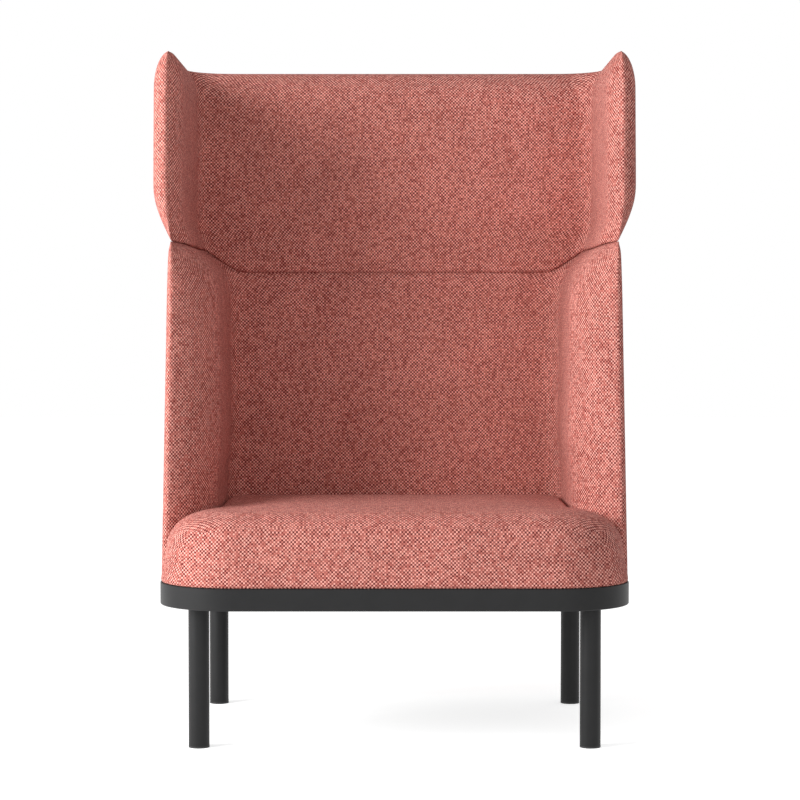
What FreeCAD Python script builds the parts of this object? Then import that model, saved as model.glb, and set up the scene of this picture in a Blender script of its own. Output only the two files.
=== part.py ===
import FreeCAD, Part
import math
import os

from FreeCAD import Vector

# Acoustic high back lounge chair, in millimetres.
# Seen from the front, +X is to the right, +Y to the back and +Z up.
# Depths are measured back from the front face of the base band.

# Base band: a flat bar on edge, bent to a closed ring
band_width = 860.0
band_depth = 650.0
band_height = 40.0
band_thickness = 8.0
band_corner_radius = 140.0
band_edge_chamfer = 1.2
base_height = 296.0

# Legs and what closes them
leg_diameter = 38.0
leg_wall = 2.0
leg_side_inset = 75.0
leg_end_inset = 78.0
glide_flange = 3.0
glide_plug_length = 22.0
glide_rib = 3.0
glide_sides = 32
plug_thickness = 12.0
fit_clearance = 0.1

# Corner plates and cross rails inside the band
plate_thickness = 5.0
plate_reach = 60.0
rail_leg = 30.0
rail_wall = 4.0
rail_plate_gap = 15.0

# Bolts, washers and threaded inserts; round shanks and their holes are prisms of this many sides
shank_sides = 12
leg_bolt_diameter = 10.0
leg_bolt_head = 17.0
leg_bolt_head_height = 6.4
leg_washer_diameter = 21.0
leg_washer_thickness = 2.0
leg_access_diameter = 26.0
deck_bolt_diameter = 6.0
deck_bolt_head = 10.0
deck_bolt_head_height = 3.6
deck_bolt_spacing = 250.0
plate_bolt_side_offset = 62.0
plate_bolt_end_offset = 30.0
insert_width = 10.0
bolt_end_gap = 1.0

# Seat deck and the dust cover under it
dust_cover_thickness = 1.0
deck_thickness = 15.0
deck_edge_inset = 6.0
deck_shoulder_depth = 160.0

# Seat cushion: cover over a soft and a firm layer of foam
seat_thickness = 135.0
seat_crown = 5.0
seat_crown_reach = 130.0
seat_roll = 99.0
seat_roll_height = 100.0
seat_foot_inset = 2.0
seat_corner_share = 0.9
cover_thickness = 3.0
firm_foam_height = 50.0

# Lower shell: padded wings and back round the seat
shell_height = 625.5
shell_side_lean = 12.0
shell_rear_lean = 12.0
wing_thickness = 100.0
back_foot_thickness = 115.0
back_top_thickness = 46.0
shell_inner_corner = 30.0
roll_height = 110.0
nose_depth = 146.0
nose_rake = 0.08
nose_edge_length = 22.0
nose_edge_bulge = 0.18
nose_crest_inset = 9.0
nose_sweep_length = 108.0
nose_sweep_bulge = 0.115
nose_least_share = 0.3
outer_pad_thickness = 12.0
board_thickness = 12.0
board_top_margin = 40.0
board_nose_margin = 34.0

# Hood: padded panel standing on the lower shell
hood_rise = 355.1
hood_crest_side_step = 4.0
hood_crest_rear_step = 7.0
hood_outer_bulge = 29.5
hood_inner_bulge = 25.0
hood_back_bulge = 40.0
hood_corner_radius = 125.0
hood_inner_corner = 30.0
hood_foot_inner_corner = 90.0
hood_top_roll = 68.0
hood_foot_roll = 105.0
hood_edge_length = 40.0
hood_sweep_length = 52.0
hood_crest_inset = 25.0
hood_nose_roll = 12.0
hood_foot_run = 66.0
hood_seam_tuck = 1.0
hood_board_corner = 92.0
hood_board_rise = 43.5
hood_board_margin = 30.0
hood_board_nose_margin = 30.0

# Steel straps that carry the hood, and the screws of the boards
strap_width = 30.0
strap_thickness = 4.0
strap_lap_down = 126.5
strap_lap_up = 108.5
strap_back_offset = 180.0
strap_wing_depth = 400.0
strap_screw_diameter = 5.0
strap_screw_head = 8.0
strap_screw_head_height = 3.5
strap_screw_length = 10.0
strap_screw_margin = 36.0
shell_screw_diameter = 5.0
shell_screw_length = 45.0
shell_screw_wing_inset = 250.0
shell_screw_wing_pitch = 200.0
shell_screw_back_offset = 190.0

# Steps of the lofts: share of a wall's height, turn of a roll in degrees,
# share of the hood's drawn-in foot and of the crown
wall_steps = (0.0, 0.35, 0.7)
roll_steps = (0, 26, 48, 68, 84)
foot_steps = (0.3, 0.62, 1.0)
cushion_steps = (0, 28, 58, 90)
crown_steps = (0.4, 1.0)
edge_share = 0.05

# Reach of the cutting bodies past what they cut
cutter_margin = 20.0
cutter_reach = 300.0

# Sizes that follow from the ones above
seat_height = base_height + seat_thickness
seam_height = base_height + shell_height
seam_half_width = band_width / 2 - shell_side_lean
seam_depth = band_depth + shell_rear_lean
hood_height = seam_height + hood_rise
hood_crest_half = seam_half_width + hood_crest_side_step
hood_crest_depth = seam_depth - hood_crest_rear_step
hood_board_foot = seam_height + hood_board_rise
strap_foot = seam_height - strap_lap_down
strap_top = seam_height + strap_lap_up
wing_inner_half = band_width / 2 - wing_thickness
rail_front_depth = band_corner_radius + plate_reach + rail_plate_gap
rail_rear_depth = band_depth - rail_front_depth
rear_reach = hood_crest_depth + hood_outer_bulge
centre_depth = rear_reach / 2
band_foot = base_height - band_height
cushion_foot = base_height
deck_foot = base_height + dust_cover_thickness
deck_top = deck_foot + deck_thickness
leg_x = band_width / 2 - leg_side_inset
leg_depths = (leg_end_inset, band_depth - leg_end_inset)
leg_top = base_height - plate_thickness
shell_foot_half = band_width / 2
roll_foot = seam_height - roll_height
board_top = seam_height - board_top_margin
board_half = seam_half_width - outer_pad_thickness
board_rear = band_depth - outer_pad_thickness
board_radius = band_corner_radius - outer_pad_thickness
strap_outer_half = board_half + strap_thickness
strap_outer_rear = board_rear + strap_thickness
leg_bolt_hole = leg_bolt_diameter + 2 * fit_clearance
deck_bolt_hole = deck_bolt_diameter + 2 * fit_clearance
hood_board_half = strap_outer_half + board_thickness
hood_board_rear = strap_outer_rear + board_thickness

os.makedirs("parts", exist_ok=True)


def at(x, depth, z):
    """Point at a distance x from the middle, a depth from the band's front face and a height."""
    return Vector(x, depth - centre_depth, z)


def save(node, shape):
    """Write one sub-part."""
    shape.exportStep("parts/" + node + ".step")


def cylinder(radius, foot, length, direction=Vector(0, 0, 1)):
    return Part.makeCylinder(radius, length, foot, direction)


def prism(sides, across_flats, foot, length, direction=Vector(0, 0, 1)):
    """Prism of even sides about a direction, which is one of the axes, from the point foot."""
    first = Vector(direction.y, direction.z, direction.x)
    second = direction.cross(first)
    reach = across_flats / 2 / math.cos(math.pi / sides)
    corners = []
    for step in range(sides + 1):
        angle = 2 * math.pi * (step + 0.5) / sides
        corners.append(foot + first * (reach * math.cos(angle)) + second * (reach * math.sin(angle)))
    return Part.Face(Part.makePolygon(corners)).extrude(direction * length)


def shank(diameter, foot, length, direction=Vector(0, 0, 1)):
    return prism(shank_sides, diameter, foot, length, direction)


def head(across_flats, foot, height, direction=Vector(0, 0, 1)):
    return prism(6, across_flats, foot, height, direction)


def joined(edges):
    """Closed wire from edges given in order."""
    return Part.Wire(edges)


def line(start, end):
    return Part.LineSegment(start, end).toShape()


def arc(start, middle, end):
    return Part.Arc(start, middle, end).toShape()


def quarter(centre_x, centre_d, z, radius, from_angle, to_angle):
    """Arc about a corner centre, angles in degrees from +X towards the back."""
    ends = []
    for angle in (from_angle, (from_angle + to_angle) / 2, to_angle):
        turn = math.radians(angle)
        ends.append(at(centre_x + radius * math.cos(turn), centre_d + radius * math.sin(turn), z))
    return arc(*ends)


def rounded_outline(half, front, rear, z, front_radius, rear_radius):
    """Rectangle in plan with its own radius on the front and on the rear corners."""
    return joined([
        line(at(-half + front_radius, front, z), at(half - front_radius, front, z)),
        quarter(half - front_radius, front + front_radius, z, front_radius, -90, 0),
        line(at(half, front + front_radius, z), at(half, rear - rear_radius, z)),
        quarter(half - rear_radius, rear - rear_radius, z, rear_radius, 0, 90),
        line(at(half - rear_radius, rear, z), at(-half + rear_radius, rear, z)),
        quarter(-half + rear_radius, rear - rear_radius, z, rear_radius, 90, 180),
        line(at(-half, rear - rear_radius, z), at(-half, front + front_radius, z)),
        quarter(-half + front_radius, front + front_radius, z, front_radius, 180, 270),
    ])


def slab(half, front, rear, foot, height, front_radius, rear_radius):
    outline = rounded_outline(half, front, rear, foot, front_radius, rear_radius)
    return Part.Face(outline).extrude(Vector(0, 0, height))


def bulged(start, end, bulge):
    """Arc that stands off the right of its chord by a share of the chord's length."""
    chord = end - start
    across = Vector(chord.y, -chord.x, 0) * bulge
    return arc(start, (start + end) * 0.5 + across, end)


class Wall:
    """Horizontal section of a wall that goes round the sitter in a U with swept noses."""

    def __init__(self, z, outer_half, outer_depth, outer_corner, inner_half, inner_depth, inner_corner,
                 nose, edge_length, crest_half, sweep_length, fullness):
        self.z = z
        self.outer_half = outer_half
        self.outer_depth = outer_depth
        self.outer_corner = outer_corner
        self.inner_half = inner_half
        self.inner_depth = inner_depth
        self.inner_corner = inner_corner
        self.nose = nose
        self.edge_length = edge_length
        self.crest_half = crest_half
        self.sweep_length = sweep_length
        self.fullness = fullness

    def wire(self):
        z = self.z
        half = self.outer_half
        rear = self.outer_depth
        turn = self.outer_corner
        inner = self.inner_half
        back = self.inner_depth
        bend = self.inner_corner
        edge = self.nose + self.edge_length
        sweep = self.nose + self.sweep_length
        crest = self.crest_half
        edge_bulge = nose_edge_bulge * self.fullness
        sweep_bulge = nose_sweep_bulge * self.fullness
        return joined([
            line(at(half, edge, z), at(half, rear - turn, z)),
            quarter(half - turn, rear - turn, z, turn, 0, 90),
            line(at(half - turn, rear, z), at(-half + turn, rear, z)),
            quarter(-half + turn, rear - turn, z, turn, 90, 180),
            line(at(-half, rear - turn, z), at(-half, edge, z)),
            bulged(at(-half, edge, z), at(-crest, self.nose, z), edge_bulge),
            bulged(at(-crest, self.nose, z), at(-inner, sweep, z), sweep_bulge),
            line(at(-inner, sweep, z), at(-inner, back - bend, z)),
            quarter(-inner + bend, back - bend, z, bend, 180, 90),
            line(at(-inner + bend, back, z), at(inner - bend, back, z)),
            quarter(inner - bend, back - bend, z, bend, 90, 0),
            line(at(inner, back - bend, z), at(inner, sweep, z)),
            bulged(at(inner, sweep, z), at(crest, self.nose, z), sweep_bulge),
            bulged(at(crest, self.nose, z), at(half, edge, z), edge_bulge),
        ])


def shell_outer_half(z):
    """The wings lean in evenly from the band to the seam."""
    rise = (z - cushion_foot) / (seam_height - cushion_foot)
    return shell_foot_half + (seam_half_width - shell_foot_half) * rise


def shell_outer_depth(z):
    rise = (z - cushion_foot) / (seam_height - cushion_foot)
    return band_depth + shell_rear_lean * rise


def tapered(length, fullness):
    """Length of a nose face, which shortens where the wall thins out."""
    return length * (nose_least_share + (1 - nose_least_share) * fullness)


def shell_section(z, roll, grow):
    """Section of the lower shell; roll goes from 0 under the top roll to a quarter turn at the seam."""
    fullness = math.cos(roll)
    lean = min(1.0, (z - cushion_foot) / (roll_foot - cushion_foot))
    half = shell_outer_half(z)
    rear = shell_outer_depth(z)
    wing = (half - wing_inner_half) * fullness
    thickness = back_foot_thickness + (back_top_thickness - back_foot_thickness) * lean
    back = (rear - band_depth + thickness) * fullness
    return Wall(z, half + grow, rear + grow, band_corner_radius + grow,
                half - wing - grow, rear - back - grow,
                band_corner_radius + (shell_inner_corner - band_corner_radius) * fullness - grow,
                nose_line(z) + nose_edge_length * (1 - fullness) - grow,
                tapered(nose_edge_length, fullness), half - nose_crest_inset * fullness,
                tapered(nose_sweep_length, fullness), fullness)


def shell_envelope(grow=0.0):
    """Whole padded lower shell, with its rolled top."""
    wires = []
    for share in wall_steps:
        wires.append(shell_section(cushion_foot + (roll_foot - cushion_foot) * share, 0.0, grow).wire())
    for degrees in roll_steps:
        roll = math.radians(degrees)
        wires.append(shell_section(roll_foot + roll_height * math.sin(roll), roll, grow).wire())
    return Part.makeLoft(wires, True, True)


def hood_section(z, outer_half, outer_depth, outer_corner, inner_corner, setback, outer_share, inner_share):
    """Section of the hood; the shares say how far it swells out and in from its crest."""
    fullness = min(outer_share, inner_share)
    return Wall(z, outer_half, outer_depth, outer_corner,
                hood_crest_half - hood_inner_bulge * inner_share,
                hood_crest_depth - hood_back_bulge * inner_share, inner_corner,
                nose_line(z) + setback, tapered(hood_edge_length, outer_share),
                outer_half - hood_crest_inset * outer_share,
                tapered(hood_sweep_length, inner_share), fullness)


def nose_line(z):
    """Front edge of the wings and of the hood above them, in one raked line."""
    return nose_depth + nose_rake * (z - cushion_foot)


def hood_envelope():
    """Whole padded hood, run down into the lower shell, from which it is cut later."""
    seam_outer = seam_half_width - hood_seam_tuck
    seam_rear = seam_depth - hood_seam_tuck
    full_outer = hood_crest_half + hood_outer_bulge
    full_rear = hood_crest_depth + hood_outer_bulge
    seam_corner = band_corner_radius - hood_seam_tuck
    crest_corner = hood_corner_radius - hood_outer_bulge
    wires = []
    for z in (seam_height - hood_foot_run, seam_height):
        outer = shell_outer_half(z) - hood_seam_tuck
        rear = shell_outer_depth(z) - hood_seam_tuck
        wires.append(hood_section(z, outer, rear, seam_corner, hood_foot_inner_corner, nose_edge_length,
                                  edge_share, 1.0).wire())
    for share in foot_steps:
        swell = math.sin(math.pi / 2 * share)
        z = seam_height + hood_foot_roll * share
        outer = seam_outer + (full_outer - seam_outer) * swell
        rear = seam_rear + (full_rear - seam_rear) * swell
        corner = seam_corner + (hood_corner_radius - seam_corner) * swell
        bend = hood_foot_inner_corner + (hood_inner_corner - hood_foot_inner_corner) * swell
        wires.append(hood_section(z, outer, rear, corner, bend, nose_edge_length * (1 - swell),
                                  swell, 1.0).wire())
    for degrees in roll_steps:
        roll = math.radians(degrees)
        share = math.cos(roll)
        z = hood_height - hood_top_roll * (1 - math.sin(roll))
        drawn = hood_outer_bulge * (1 - share)
        bend = crest_corner + (hood_inner_corner - crest_corner) * share
        wires.append(hood_section(z, full_outer - drawn, full_rear - drawn, hood_corner_radius - drawn,
                                  bend, hood_nose_roll * (1 - share), share, share).wire())
    return Part.makeLoft(wires, True, True)


def bent_board(half, rear, radius, foot, top, nose_margin):
    """Moulded plywood U, upright, its front edges cut to the rake of the noses."""
    outer = slab(half, 0.0, rear, foot, top - foot, radius, radius)
    turn = radius - board_thickness
    inner = slab(half - board_thickness, -radius, rear - board_thickness, foot, top - foot, turn, turn)
    corners = [at(-band_width, -cutter_reach, foot), at(-band_width, nose_line(foot) + nose_margin, foot),
               at(-band_width, nose_line(top) + nose_margin, top), at(-band_width, -cutter_reach, top)]
    front = Part.Face(Part.makePolygon(corners + corners[:1])).extrude(Vector(2 * band_width, 0, 0))
    return outer.cut(inner).cut(front)


def inside_of_board(half, rear, radius):
    """All that lies inside the outer face of a board, open to the front."""
    foot = base_height - cutter_margin
    return slab(half, -cutter_reach, rear, foot, hood_height, radius, radius)


def cushion_envelope(skin=0.0):
    """Seat cushion with rolled front and sides and a low crown, before the shell is cut from it."""
    half = shell_foot_half - skin
    wires = []
    crown_foot = seat_height - seat_crown - skin
    side_top = crown_foot - (seat_roll_height - skin)
    rear = band_depth - 2 * outer_pad_thickness

    def ring(z, inset):
        radius = (band_corner_radius - skin) - inset * seat_corner_share
        return rounded_outline(half - inset, skin + inset, rear, z, radius, radius)

    wires.append(ring(cushion_foot, seat_foot_inset / 2))
    for degrees in cushion_steps:
        turn = math.radians(degrees)
        inset = seat_foot_inset + (seat_roll - skin) * (1 - math.cos(turn))
        wires.append(ring(side_top + (seat_roll_height - skin) * math.sin(turn), inset))
    for share in crown_steps:
        inset = seat_foot_inset + seat_roll - skin + seat_crown_reach * share
        radius = (band_corner_radius - seat_roll * seat_corner_share) * (1 + share)
        z = crown_foot + seat_crown * math.sin(math.pi / 2 * share)
        wires.append(rounded_outline(half - inset, skin + inset, rear, z, radius, radius))
    return Part.makeLoft(wires, True, True)


def base_band():
    ring = slab(band_width / 2, 0.0, band_depth, band_foot, band_height,
                band_corner_radius, band_corner_radius)
    inner_radius = band_corner_radius - band_thickness
    ring = ring.cut(slab(band_width / 2 - band_thickness, band_thickness, band_depth - band_thickness,
                         band_foot, band_height, inner_radius, inner_radius))
    rims = [edge for edge in ring.Edges if edge.BoundBox.ZLength < 1e-6]
    return ring.makeChamfer(band_edge_chamfer, rims)


def corner_plate(side, end):
    """Plate in one corner of the band; side and end are -1 or 1, towards the left and the front."""
    x = band_width / 2
    centre_x = x - band_corner_radius
    inner = x - band_thickness
    radius = band_corner_radius - band_thickness
    z = leg_top
    outline = Part.Wire([
        line(plate_point(centre_x - plate_reach, band_thickness, z),
             plate_point(centre_x, band_thickness, z)),
        arc(plate_point(centre_x, band_thickness, z),
            plate_point(centre_x + radius * math.sin(math.pi / 4),
                        band_corner_radius - radius * math.cos(math.pi / 4), z),
            plate_point(inner, band_corner_radius, z)),
        line(plate_point(inner, band_corner_radius, z),
             plate_point(inner, band_corner_radius + plate_reach, z)),
        line(plate_point(inner, band_corner_radius + plate_reach, z),
             plate_point(centre_x - plate_reach, band_thickness, z)),
    ])
    plate = Part.Face(outline).extrude(Vector(0, 0, plate_thickness))
    plate = plate.cut(shank(leg_bolt_hole, plate_point(leg_x, leg_end_inset, z), plate_thickness))
    bolt_foot = plate_point(leg_x - plate_bolt_side_offset, leg_end_inset - plate_bolt_end_offset, z)
    plate = plate.cut(shank(deck_bolt_hole, bolt_foot, plate_thickness))
    return placed(plate, side, end)


def plate_point(x, depth, z):
    """Point of the front right corner, about the middle of the band in plan."""
    return Vector(x, depth - band_depth / 2, z)


def placed(shape, side, end):
    """Mirror a piece of the front right corner to its own corner."""
    if side < 0:
        shape = shape.mirror(Vector(0, 0, 0), Vector(1, 0, 0))
    if end > 0:
        shape = shape.mirror(Vector(0, 0, 0), Vector(0, 1, 0))
    shape.translate(Vector(0, band_depth / 2 - centre_depth, 0))
    return shape


def cross_rail(flange_front, web_front):
    """Angle across the band; its flange is flush with the band's top, its web hangs down."""
    length = band_width - 2 * band_thickness
    flange = Part.makeBox(length, rail_leg, rail_wall, at(-length / 2, flange_front, base_height - rail_wall))
    web = Part.makeBox(length, rail_wall, rail_leg, at(-length / 2, web_front, base_height - rail_leg))
    rail = flange.fuse(web).removeSplitter()
    for x, depth, thickness in rail_bolts:
        rail = rail.cut(shank(deck_bolt_hole, at(x, depth, base_height - rail_leg), rail_leg))
    return rail


def leg(x, depth):
    """Tube with a threaded plug welded in its head."""
    foot = at(x, depth, glide_flange)
    height = leg_top - glide_flange
    tube = cylinder(leg_diameter / 2, foot, height)
    hollow = cylinder(leg_diameter / 2 - leg_wall, foot, height - plug_thickness)
    return tube.cut(hollow).cut(shank(leg_bolt_hole, foot, height))


def leg_washer(x, depth):
    foot = at(x, depth, base_height)
    ring = prism(shank_sides, leg_washer_diameter, foot, leg_washer_thickness)
    return ring.cut(shank(leg_bolt_hole, foot, leg_washer_thickness))


def leg_bolt(x, depth):
    seat = base_height + leg_washer_thickness
    foot = leg_top - plug_thickness
    top = head(leg_bolt_head, at(x, depth, seat), leg_bolt_head_height)
    return top.fuse(shank(leg_bolt_diameter, at(x, depth, foot), seat - foot))


def glide(x, depth):
    """Foot of a leg: a flange as wide as the tube and crossed ribs that grip inside it."""
    flange = prism(glide_sides, leg_diameter, at(x, depth, 0), glide_flange)
    reach = math.sqrt((leg_diameter / 2 - leg_wall) ** 2 - (glide_rib / 2) ** 2) - fit_clearance
    half = glide_rib / 2
    rib = Part.makeBox(2 * reach, glide_rib, glide_plug_length, at(x - reach, depth - half, glide_flange))
    crossed = Part.makeBox(glide_rib, 2 * reach, glide_plug_length, at(x - half, depth - reach, glide_flange))
    return flange.fuse(rib).fuse(crossed)


def deck_bolt(x, depth, thickness):
    seat = base_height - thickness
    top = head(deck_bolt_head, at(x, depth, seat - deck_bolt_head_height), deck_bolt_head_height)
    return top.fuse(shank(deck_bolt_diameter, at(x, depth, seat), deck_top - seat - bolt_end_gap))


def insert(x, depth):
    """Six-sided threaded sleeve pressed through the deck."""
    foot = at(x, depth, deck_foot)
    return head(insert_width, foot, deck_thickness).cut(shank(deck_bolt_hole, foot, deck_thickness))


def holes(shape, points, sides, width, foot, height):
    for x, depth in points:
        shape = shape.cut(prism(sides, width, at(x, depth, foot), height))
    return shape


def deck_plate(foot, height):
    """Plate in the outline of the seat deck: wide in front, inside the lower board behind."""
    radius = band_corner_radius - deck_edge_inset
    whole = slab(band_width / 2 - deck_edge_inset, deck_edge_inset, band_depth - deck_edge_inset,
                 foot, height, radius, radius)
    front = Part.makeBox(band_width, deck_shoulder_depth, height, at(-band_width / 2, 0, foot))
    behind = Part.makeBox(band_width, band_depth, height, at(-band_width / 2, deck_shoulder_depth, foot))
    inside = inside_of_board(board_half - board_thickness, board_rear - board_thickness,
                             board_radius - board_thickness)
    return whole.common(front).fuse(whole.common(behind).common(inside))


def strap(x, depth, turned):
    """Flat bar, recessed in the lower board and lying on the inner face of the hood's board."""
    height = strap_top - strap_foot
    if turned:
        return Part.makeBox(strap_thickness, strap_width, height,
                            at(x - strap_thickness / 2, depth - strap_width / 2, strap_foot))
    return Part.makeBox(strap_width, strap_thickness, height,
                        at(x - strap_width / 2, depth - strap_thickness / 2, strap_foot))


def strap_screw(seat, inward):
    """Hexagon screw with its head on the strap at the point seat."""
    top = head(strap_screw_head, seat, strap_screw_head_height, inward * -1)
    return top.fuse(shank(strap_screw_diameter, seat, strap_screw_length, inward))


def strap_screws(x, depth, outward):
    """A screw through each end of a strap, into the lower board and into the hood's board."""
    half = outward * (strap_thickness / 2)
    low = at(x, depth, strap_foot + strap_screw_margin)
    high = at(x, depth, strap_top - strap_screw_margin)
    return [strap_screw(low + half, outward * -1), strap_screw(high - half, outward)]


def shell_screws():
    """Screws sunk flush through the foot of the lower board into the edge of the deck."""
    z = deck_foot + deck_thickness / 2
    seats = []
    for depth in (shell_screw_wing_inset, shell_screw_wing_inset + shell_screw_wing_pitch):
        seats.append((at(board_half, depth, z), Vector(-1, 0, 0)))
        seats.append((at(-board_half, depth, z), Vector(1, 0, 0)))
    for x in (-shell_screw_back_offset, shell_screw_back_offset):
        seats.append((at(x, board_rear, z), Vector(0, -1, 0)))
    return [shank(shell_screw_diameter, seat, shell_screw_length, inward) for seat, inward in seats]


def group(shapes):
    return Part.makeCompound(shapes)


def without(shape, cutters):
    for cutter in cutters:
        shape = shape.cut(cutter)
    return shape


# Places of the fasteners
leg_points = [(side * leg_x, depth) for side in (-1, 1) for depth in leg_depths]
rail_bolts = [(deck_bolt_spacing * side, depth, rail_wall) for side in (-1, 1)
              for depth in (rail_front_depth + rail_leg / 2, rail_rear_depth - rail_leg / 2)]
plate_bolts = [(side * (leg_x - plate_bolt_side_offset), depth, plate_thickness) for side in (-1, 1)
               for depth in (leg_end_inset - plate_bolt_end_offset,
                             band_depth - leg_end_inset + plate_bolt_end_offset)]
bolts = rail_bolts + plate_bolts

# Base
save("base_band", base_band())
for side, side_name in ((-1, "left"), (1, "right")):
    for end, end_name, depth in ((-1, "front", leg_depths[0]), (1, "rear", leg_depths[1])):
        corner = end_name + "_" + side_name
        save("corner_plate_" + corner, corner_plate(side, end))
        save("leg_" + corner, leg(side * leg_x, depth))
        save("glide_" + corner, glide(side * leg_x, depth))
save("cross_rail_front", cross_rail(rail_front_depth, rail_front_depth))
save("cross_rail_rear", cross_rail(rail_rear_depth - rail_leg, rail_rear_depth - rail_wall))
save("leg_bolts", group([leg_bolt(x, depth) for x, depth in leg_points]))
save("leg_washers", group([leg_washer(x, depth) for x, depth in leg_points]))

# Straps of the hood: place, whether turned to lie along a wing, and the way out of the chair
strap_half = strap_outer_half - strap_thickness / 2
strap_rear = strap_outer_rear - strap_thickness / 2
strap_places = [(side * strap_half, strap_wing_depth, True, Vector(side, 0, 0)) for side in (-1, 1)]
strap_places += [(side * strap_back_offset, strap_rear, False, Vector(0, 1, 0)) for side in (-1, 1)]
straps = []
screws_of_straps = []
for x, depth, turned, outward in strap_places:
    screws = strap_screws(x, depth, outward)
    straps.append(without(strap(x, depth, turned), screws))
    screws_of_straps += screws
strap_blocks = [strap(x, depth, turned) for x, depth, turned, outward in strap_places]
save("joining_straps", group(straps))
save("strap_screws", group(screws_of_straps))

# Seat deck with its fasteners
screws_of_shell = shell_screws()
bolt_points = [(x, depth) for x, depth, thickness in bolts]
dust_cover = deck_plate(base_height, dust_cover_thickness)
dust_cover = holes(dust_cover, leg_points, shank_sides, leg_access_diameter, base_height,
                   dust_cover_thickness)
dust_cover = holes(dust_cover, bolt_points, 6, insert_width, base_height, dust_cover_thickness)
deck = deck_plate(deck_foot, deck_thickness)
deck = holes(deck, leg_points, shank_sides, leg_access_diameter, deck_foot, deck_thickness)
deck = holes(deck, bolt_points, 6, insert_width, deck_foot, deck_thickness)
save("dust_cover", dust_cover)
save("seat_deck", without(deck, screws_of_shell))
save("deck_bolts", group([deck_bolt(x, depth, thickness) for x, depth, thickness in bolts]))
save("deck_inserts", group([insert(x, depth) for x, depth in bolt_points]))
save("shell_screws", group(screws_of_shell))

# Seat cushion, cut to the wings and the back and lying over the deck
shell = shell_envelope()
filling = cushion_envelope(cover_thickness)
plate = deck_plate(base_height, dust_cover_thickness + deck_thickness)
seat_cover = without(cushion_envelope(), [filling, shell])
foam = without(filling, [shell_envelope(cover_thickness), plate])
firm_top = deck_top + firm_foam_height
firm_block = Part.makeBox(band_width, rear_reach, firm_top, at(-band_width / 2, 0, 0))
save("seat_cover", seat_cover)
save("seat_foam_firm", foam.common(firm_block))
save("seat_foam_soft", foam.cut(firm_block))

# Lower shell
board = bent_board(board_half, board_rear, board_radius, base_height, board_top, board_nose_margin)
column = inside_of_board(board_half, board_rear, board_radius)
save("lower_board", without(board, strap_blocks + screws_of_straps + screws_of_shell))
save("lower_inner_pad", without(shell.common(column), [board, plate] + strap_blocks))
save("lower_outer_pad", without(shell.cut(column), strap_blocks + screws_of_straps))

# Hood, cut to the top roll of the lower shell
hood = hood_envelope().cut(shell)
panel = bent_board(hood_board_half, hood_board_rear, hood_board_corner, hood_board_foot,
                   hood_height - hood_board_margin, hood_board_nose_margin)
hood_column = inside_of_board(hood_board_half, hood_board_rear, hood_board_corner)
save("hood_board", without(panel, screws_of_straps))
save("hood_inner_pad", without(hood.common(hood_column), [panel] + strap_blocks + screws_of_straps))
save("hood_outer_pad", hood.cut(hood_column))
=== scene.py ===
"""Acoustic high back lounge chair: upholstery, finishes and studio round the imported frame."""
import logging
import math
from dataclasses import dataclass, replace
from enum import Enum
from typing import Callable, Sequence

import bmesh
import bpy
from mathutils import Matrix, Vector, kdtree


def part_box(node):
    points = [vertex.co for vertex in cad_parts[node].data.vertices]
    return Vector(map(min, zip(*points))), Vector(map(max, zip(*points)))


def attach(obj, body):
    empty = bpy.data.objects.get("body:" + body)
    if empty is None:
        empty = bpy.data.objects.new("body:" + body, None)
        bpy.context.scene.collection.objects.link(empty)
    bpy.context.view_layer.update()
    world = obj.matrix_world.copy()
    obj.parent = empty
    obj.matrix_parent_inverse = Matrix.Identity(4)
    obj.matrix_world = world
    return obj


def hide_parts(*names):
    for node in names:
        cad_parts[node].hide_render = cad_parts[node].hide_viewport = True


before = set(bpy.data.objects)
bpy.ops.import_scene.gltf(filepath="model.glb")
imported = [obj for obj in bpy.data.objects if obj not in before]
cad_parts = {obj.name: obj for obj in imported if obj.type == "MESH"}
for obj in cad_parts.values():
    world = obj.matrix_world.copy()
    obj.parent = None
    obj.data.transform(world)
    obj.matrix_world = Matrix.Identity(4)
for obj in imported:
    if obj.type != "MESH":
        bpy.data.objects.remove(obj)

LOG = logging.getLogger("lounge_chair")

UV_NAME = "cloth_run"
CENTRE_DEPTH = 0.34225
QUARTER = math.pi / 2

Place = tuple[float, float]
Colour = tuple[float, float, float]


def at(x: float, depth: float, z: float) -> Vector:
    """Give the point at a distance from the middle, a depth from the band's front and a height."""
    return Vector((x, depth - CENTRE_DEPTH, z))


def lifted(ring: Sequence[Place], z: float) -> list[Vector]:
    """Give the points of a ring at a height."""
    return [at(x, depth, z) for x, depth in ring]


def mix(start: float, end: float, share: float) -> float:
    """Give the value a share of the way from start to end."""
    return start + (end - start) * share


def smooth_share(value: float, low: float, high: float) -> float:
    """Rise smoothly from 0 at low to 1 at high.

    Args:
        value: Where to read the curve.
        low: Value up to which it is 0.
        high: Value from which it is 1.

    Returns:
        The share, from 0 to 1.
    """
    share = min(1.0, max(0.0, (value - low) / (high - low)))
    return share * share * (3 - 2 * share)


def along(knots: Sequence[Place], value: float) -> float:
    """Read a smooth profile through knots of (position, size).

    Args:
        knots: Positions in rising order, each with its size.
        value: Position to read.

    Returns:
        The size there, held level past both ends.
    """
    if value <= knots[0][0]:
        return knots[0][1]
    for (low, first), (high, second) in zip(knots, knots[1:]):
        if value <= high:
            share = (value - low) / (high - low)
            return mix(first, second, share * share * (3 - 2 * share))
    return knots[-1][1]


def bell(value: float, centre: float, width: float) -> float:
    """Give a bell curve of height 1 about a centre."""
    return math.exp(-(((value - centre) / width) ** 2))


# Sections and skins


def straight(start: Place, end: Place, count: int) -> list[Place]:
    """Give count places from start towards end, without the end."""
    return [(mix(start[0], end[0], i / count), mix(start[1], end[1], i / count)) for i in range(count)]


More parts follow.
